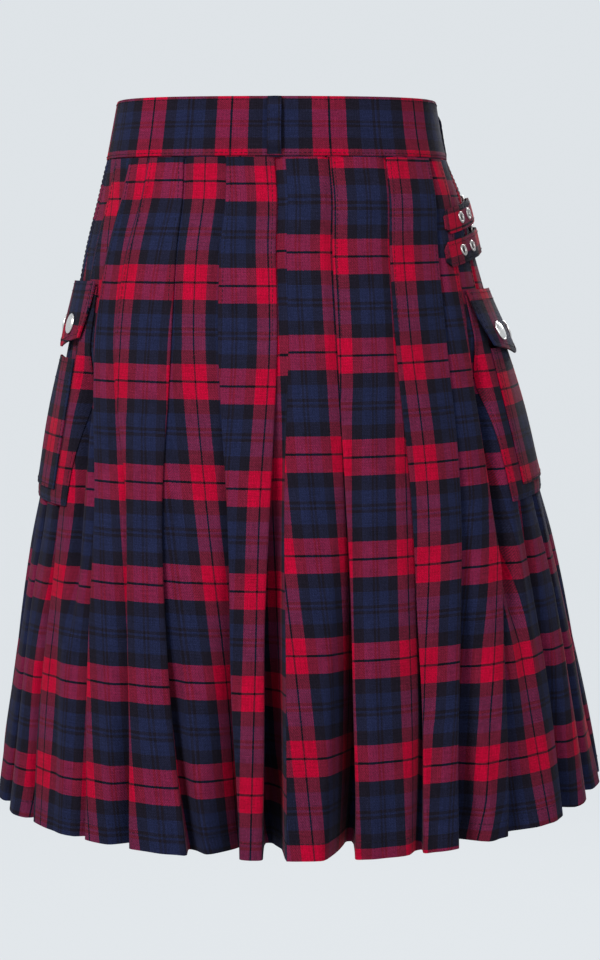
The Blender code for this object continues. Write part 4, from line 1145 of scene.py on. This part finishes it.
# drop of the middle line at the tip, and the middle of the red weft band beside that line
STRAPS = {"upper": (0.0565, 0.0080), "lower": (0.0850, -0.0115)}
STRAP_STRIPE = 0.1615
STRAP_RIDGE = 0.74
STRAP_STITCHES = 0.0030
TAB_CLOTH = 0.0010
TAB_WIDTH = 0.016
TAB_END = 0.203
TAB_WEAVE = 0.030
BAR = 0.229
RAIL = 0.251
WIRE = 0.0010
FRAME_HEIGHT = 0.0254
PRONG_WIRE = 0.0007
FRAME_CORNER = 0.0030
FRAME_BOW = 0.0015
HOLE_RADIUS = 0.0027
EYELET_RADIUS = 0.0039
EYELET_WIRE = 0.0011
EYELETS = {"tip": 0.1720, "middle": 0.1920, "pinned": 0.2405}
TAB_SEAT = CLOTH / 2 + SEAT_GAP + TAB_CLOTH / 2
BAR_OUT = TAB_SEAT + TAB_CLOTH / 2 + SEAM_GAP + WIRE
TAB_TOP = BAR_OUT + WIRE + SEAM_GAP + TAB_CLOTH / 2
TAB_BACK = TAB_SEAT + TAB_CLOTH + SEAM_GAP
STRAP_SEAT = CLOTH / 2 + SEAT_GAP + STRAP_CLOTH / 2
STRAP_OVER_TAB = TAB_BACK + TAB_CLOTH / 2 + SEAM_GAP + STRAP_CLOTH / 2
STRAP_OVER_BAR = TAB_TOP + TAB_CLOTH / 2 + SEAM_GAP + STRAP_CLOTH / 2
STRAP_ON_APRON = APRON_LIFT + CLOTH / 2 + SEAT_GAP + STRAP_CLOTH / 2
RAIL_OUT = STRAP_SEAT + 0.0006 + STRAP_CLOTH / 2 + 0.0004 + WIRE
ON_RAIL = RAIL_OUT + WIRE + PRONG_WIRE + SEAM_GAP
STRAP_LINE = (              # around, out
    (STRAP_TIP, STRAP_SEAT), (0.1520, STRAP_SEAT), (0.1700, STRAP_SEAT + 0.0003), (0.1900, STRAP_SEAT + 0.0008),
    (0.1970, STRAP_OVER_TAB - 0.0008), (0.2010, STRAP_OVER_TAB), (0.2120, STRAP_OVER_TAB + 0.0002),
    (0.2200, STRAP_OVER_TAB + 0.0012), (0.2250, STRAP_OVER_BAR - 0.0002), (0.2300, STRAP_OVER_BAR + 0.0002),
    (0.2350, STRAP_OVER_BAR - 0.0010), (0.2420, STRAP_SEAT + 0.0016), (0.2470, STRAP_SEAT + 0.0004),
    (0.2530, STRAP_SEAT + 0.0004), (0.2590, STRAP_ON_APRON), (STRAP_ROOT, STRAP_ON_APRON),
)
PRONG_LINE = ((BAR + 0.0036, BAR_OUT), (BAR + 0.0082, BAR_OUT - 0.0007), (BAR + 0.0108, BAR_OUT - 0.0002),
              (BAR + 0.0124, ON_RAIL - 0.0004), (RAIL, ON_RAIL), (RAIL + 0.0028, ON_RAIL - 0.0001))
RING_IN, RING_OUT = EYELET_RADIUS - EYELET_WIRE, EYELET_RADIUS + EYELET_WIRE
EYELET_PROFILE = (          # a rolled ring with a sleeve that goes down through the strap
    (RING_IN - 0.00012, -0.0016), (RING_IN - 0.00012, -0.0002), (RING_IN, 0.00035), (RING_IN + 0.00035, 0.00085),
    (EYELET_RADIUS - 0.0002, 0.00110), (EYELET_RADIUS + 0.0003, 0.00108), (RING_OUT - 0.00025, 0.00075),
    (RING_OUT, 0.00025), (RING_OUT - 0.0001, 0.0), (RING_IN + 0.0002, -0.0001), (RING_IN + 0.0001, -0.0016),
    (RING_IN - 0.00012, -0.0016))


def strap_out(around):
    return np.interp(around, *zip(*STRAP_LINE))


def across_strap(name, around, side, out):
    """Points beside a strap's middle line, square to it within the cloth."""
    around, side, out = as_arrays(around, side, out)
    length = math.hypot(1.0, STRAP_SLOPE)
    drop = STRAPS[name][0] + STRAP_SLOPE * (around - STRAP_TIP) + side / length
    return cloth_at(around - side * STRAP_SLOPE / length, drop, out)


def strap_frame(name, around):
    """A frame on a strap's middle line: local Z looks out, tilted as the strap is there."""
    behind, centre, ahead = (across_strap(name, spot, 0.0, strap_out(spot))
                             for spot in (around - BESIDE, around, around + BESIDE))
    return facing(centre, ahead - behind, across_strap(name, around, BESIDE, strap_out(around)) - centre)


def punch_hole(made, frame):
    shape = bmesh.new()
    bmesh.ops.create_cone(shape, cap_ends=True, segments=24, radius1=HOLE_RADIUS, radius2=HOLE_RADIUS,
                          depth=0.008, matrix=frame)
    mesh = bpy.data.meshes.new("punch")
    shape.to_mesh(mesh)
    shape.free()
    punch = add_object("punch", mesh)
    cut = made.modifiers.new("hole", "BOOLEAN")
    cut.operation = "DIFFERENCE"
    cut.object = punch
    apply_modifiers(made)
    bpy.data.objects.remove(punch, do_unlink=True)
    bpy.data.meshes.remove(mesh)


def make_strap(name):
    shoulder = STRAP_TIP + STRAP_CHAMFER
    around = np.concatenate((np.linspace(STRAP_TIP, shoulder, 6)[:-1], np.linspace(shoulder, STRAP_ROOT, 96)))
    half_width = STRAP_WIDTH / 2 - CHAMFER_DEPTH * np.maximum(0.0, (shoulder - around) / STRAP_CHAMFER)
    share = np.linspace(-1.0, 1.0, 15)[:, None]
    crown = 0.00028 * (1 - share**6) - 0.00020 * np.exp(-((np.abs(share) - STRAP_RIDGE) / 0.09)**2)
    side = share * half_width
    made = cloth("strap_" + name, across_strap(name, around, side, running_mean(strap_out(around), 3) + crown),
                 weave_map(around - STRAP_STRIPE, side - STRAPS[name][1]), 0.0016,
                 flat=(STRAP_ROOT - STRAP_TIP + 0.004, STRAP_WIDTH), held="stretched",
                 rests_on=["skirt_right_cloth", "over_apron_cloth"])
    for spot in EYELETS.values():
        punch_hole(made, strap_frame(name, spot))
    rows = [(np.linspace(shoulder - 0.001, STRAP_ROOT - 0.004, 90), end * (STRAP_WIDTH / 2 - STRAP_STITCHES))
            for end in (-1, 1)]
    rows.append((STRAP_TIP + STRAP_STITCHES, np.linspace(-0.0048, 0.0048, 9)))
    rows += [(spot, np.linspace(-0.0085, 0.0085, 12)) for spot in (STRAP_ROOT - 0.003, STRAP_ROOT - 0.020)]
    stitch_object("strap_" + name, [run_on(across_strap, name, spot, side, out=strap_out(spot) + 0.00105)
                                    for spot, side in rows])
    for label, spot in EYELETS.items():
        node = "eyelet_" + name + "_" + label
        seat = strap_frame(name, spot) @ Matrix.Translation((0, 0, STRAP_CLOTH / 2 + 0.0003))
        make_object(node + "_ring", lathe(node + "_ring", EYELET_PROFILE, seat, 36), STEEL, node)


def round_corners(points, radius, steps):
    """A closed outline with its corners rounded."""
    result = []
    for before, here, after in zip(np.roll(points, 1, axis=0), points, np.roll(points, -1, axis=0)):
        start, finish = here + unit(before - here) * radius, here + unit(after - here) * radius
        result += [(1 - t)**2 * start + 2 * t * (1 - t) * here + t**2 * finish
                   for t in np.linspace(0.0, 1.0, steps)]
    return np.array(result)


def tube(name, node, path, radius, closed, sides):
    """A wire along a path, made as a mesh; an open one is drawn in at its ends."""
    forward = np.roll(path, -1, axis=0) - np.roll(path, 1, axis=0) if closed else np.gradient(path, axis=0)
    forward = unit(forward)
    up = np.cross(path.mean(axis=0) - path, forward).mean(axis=0) if closed else (0.0, 0.0, 1.0)
    side = unit(np.cross(forward, up))
    up = np.cross(side, forward)
    taper = np.ones(len(path))
    if not closed:
        taper[[0, -1]], taper[[1, -2]] = 0.35, 0.85
    turns = 2 * math.pi * np.arange(sides) / sides
    points = np.stack([path + radius * taper[:, None] * (side * math.cos(turn) + up * math.sin(turn))
                       for turn in turns], axis=1)
    if closed:
        points = np.concatenate((points, points[:1]))
    mesh = grid_mesh(name, points, closed_rows=True)
    close_up(mesh, 0.000001)
    make_object(name, mesh, STEEL, node)


def make_buckle(name):
    """A frame of round wire, and the prong that goes up through the strap and rests on the rail."""
    half = FRAME_HEIGHT / 2
    corners = np.array(((BAR, -half), (RAIL, -half), (RAIL, half), (BAR, half)))
    outline = round_corners(corners, FRAME_CORNER, 7)
    dense = []
    for start, finish in zip(outline, np.roll(outline, -1, axis=0)):
        steps = max(1, int(np.linalg.norm(finish - start) / 0.0021))
        dense += [start + (finish - start) * k / steps for k in range(steps)]
    around, side = np.array(dense).T
    share = (around - BAR) / (RAIL - BAR)
    out = BAR_OUT + (RAIL_OUT - BAR_OUT) * share + FRAME_BOW * np.sin(np.pi * share)
    node = "buckle_" + name + "_frame"
    tube(node + "_wire", node, across_strap(name, around, side, out), WIRE, True, 14)

    line = np.array(PRONG_LINE)
    steps = travelled(line)
    fine = np.linspace(0.0, steps[-1], 48)
    around, out = (np.interp(fine, steps, column) for column in line.T)
    around[2:-2], out[2:-2] = running_mean(around, 2)[2:-2], running_mean(out, 2)[2:-2]
    node = "buckle_" + name + "_prong"
    tube(node + "_pin", node, across_strap(name, around, 0.0, out), PRONG_WIRE, False, 10)


def make_tab(name):
    """A cloth tab sewn to the skirt and folded round the buckle's bar."""
    turn = WIRE + SEAM_GAP + TAB_CLOTH / 2
    line = [(around, TAB_SEAT) for around in np.linspace(TAB_END, BAR, 16)]
    line += [(BAR + turn * math.sin(swing), BAR_OUT - turn * math.cos(swing))
             for swing in np.radians((20, 45, 70, 90, 110, 135, 160))]
    line += [(BAR, TAB_TOP), (BAR - 0.004, TAB_TOP - 0.0006), (0.2190, TAB_BACK + 0.0004)]
    line += [(around, TAB_BACK) for around in np.linspace(0.2150, TAB_END, 8)]
    around, out = np.array(line).T
    side = np.linspace(-TAB_WIDTH / 2, TAB_WIDTH / 2, 9)[:, None]
    cloth("buckle_" + name + "_tab", across_strap(name, around, side, out),
          weave_map(TAB_WEAVE + travelled(line) * 0.3, TAB_WEAVE + side), TAB_CLOTH * 0.9, TRIM,
          flat=(0.056, TAB_WIDTH), held="folded", rests_on=["skirt_right_cloth"])


# ---------------------------------------------------------------- the kilt

LEFT_HALF = Half(LEFT_PLEATS, 0, [-v for v in APRON_SEAM], CENTRE_SEAM, LEFT_STRIPES, LEFT_WEFT, LEFT_PULL)
RIGHT_HALF = Half(RIGHT_PLEATS, 20, CENTRE_SEAM, APRON_SEAM, RIGHT_STRIPES, RIGHT_WEFT, RIGHT_PULL)

make_waistband()
make_skirt("skirt_left", LEFT_HALF, (1.165, 0.58), 0.44)
make_skirt("skirt_right", RIGHT_HALF, (1.064, 0.58), 0.41)
make_apron("over_apron", -1, OVER_APRON_EDGE, APRON_LIFT, (0.456, 0.57), 0.221, 30)
make_apron("under_apron", 1, UNDER_APRON_EDGE, 0.0, (0.392, 0.57), 0.188, 34)
for loop, spot in LOOP_PLACES.items():
    make_belt_loop(loop, spot)
for pocket in POCKETS:
    make_pocket(pocket)
for strap in STRAPS:
    make_strap(strap)
    make_buckle(strap)
    make_tab(strap)


# ---------------------------------------------------------------- stage, light and camera

BACKGROUND = (0.737, 0.775, 0.807, 1.0)
STAGE_GLOW = 0.97
STAGE_PROFILE = ((0.0, -1.05), (2.0, -1.05), (3.6, -1.05), (4.4, -1.04), (5.0, -0.98), (5.6, -0.80), (6.1, -0.45),
                 (6.4, 0.1), (6.55, 1.0), (6.6, 2.5), (6.6, 5.0))
WORLD_COLOUR = (0.93, 0.96, 1.0, 1.0)
WORLD_STRENGTH = 0.40
LIGHTS = (                  # name, place, what it aims at, size, watts
    ("key", (-1.35, -2.0, 1.35), (0.0, 0.0, -0.2), 0.9, 125),
    ("fill", (1.5, -2.5, 0.5), (0.0, 0.0, -0.3), 1.5, 40),
    ("back", (0.9, 2.6, 1.4), (0.0, 0.0, -0.3), 1.4, 110),
    ("top", (0.0, -0.2, 2.6), (0.0, 0.0, -0.3), 1.6, 12),
)
CAMERA_PLACE = (0.0197, -2.0, -0.289)
FOCAL_LENGTH = 87.75        # in millimetres, on a sensor 36 mm wide


def make_stage():
    """A round pale floor that sweeps up into a wall."""
    nodes = Nodes("pale_stage")
    grain = nodes.noise(nodes.add("TexCoord").outputs["Object"], 3.0)
    nodes.feed(nodes.shader, {
        "Base Color": nodes.mix(grain, (0.024, 0.024, 0.024, 1.0), (0.027, 0.027, 0.027, 1.0)),
        "Roughness": 0.95, "Specular IOR Level": 0.0,
        "Emission Color": BACKGROUND, "Emission Strength": STAGE_GLOW})
    mesh = lathe("stage", STAGE_PROFILE, Matrix.Identity(4), 96)
    mesh.flip_normals()
    mesh.materials.append(nodes.material)
    add_object("stage", mesh)


def make_lights():
    world = bpy.data.worlds.new("soft_room")
    bpy.context.scene.world = world
    world.use_nodes = True
    background = world.node_tree.nodes["Background"]
    background.inputs["Color"].default_value = WORLD_COLOUR
    background.inputs["Strength"].default_value = WORLD_STRENGTH
    for name, spot, target, size, watts in LIGHTS:
        lamp = bpy.data.lights.new(name, "AREA")
        lamp.size = size
        lamp.energy = watts
        made = add_object(name, lamp)
        made.location = spot
        made.rotation_euler = (Vector(target) - Vector(spot)).to_track_quat("-Z", "Y").to_euler()


def make_camera():
    lens = bpy.data.cameras.new("camera")
    lens.sensor_width = 36.0
    lens.lens = FOCAL_LENGTH
    lens.clip_end = 60.0
    made = add_object("camera", lens)
    made.location = CAMERA_PLACE
    made.rotation_euler = (math.radians(90), 0.0, 0.0)
    bpy.context.scene.camera = made
    bpy.context.scene.view_settings.view_transform = "Standard"


make_stage()
make_lights()
make_camera()
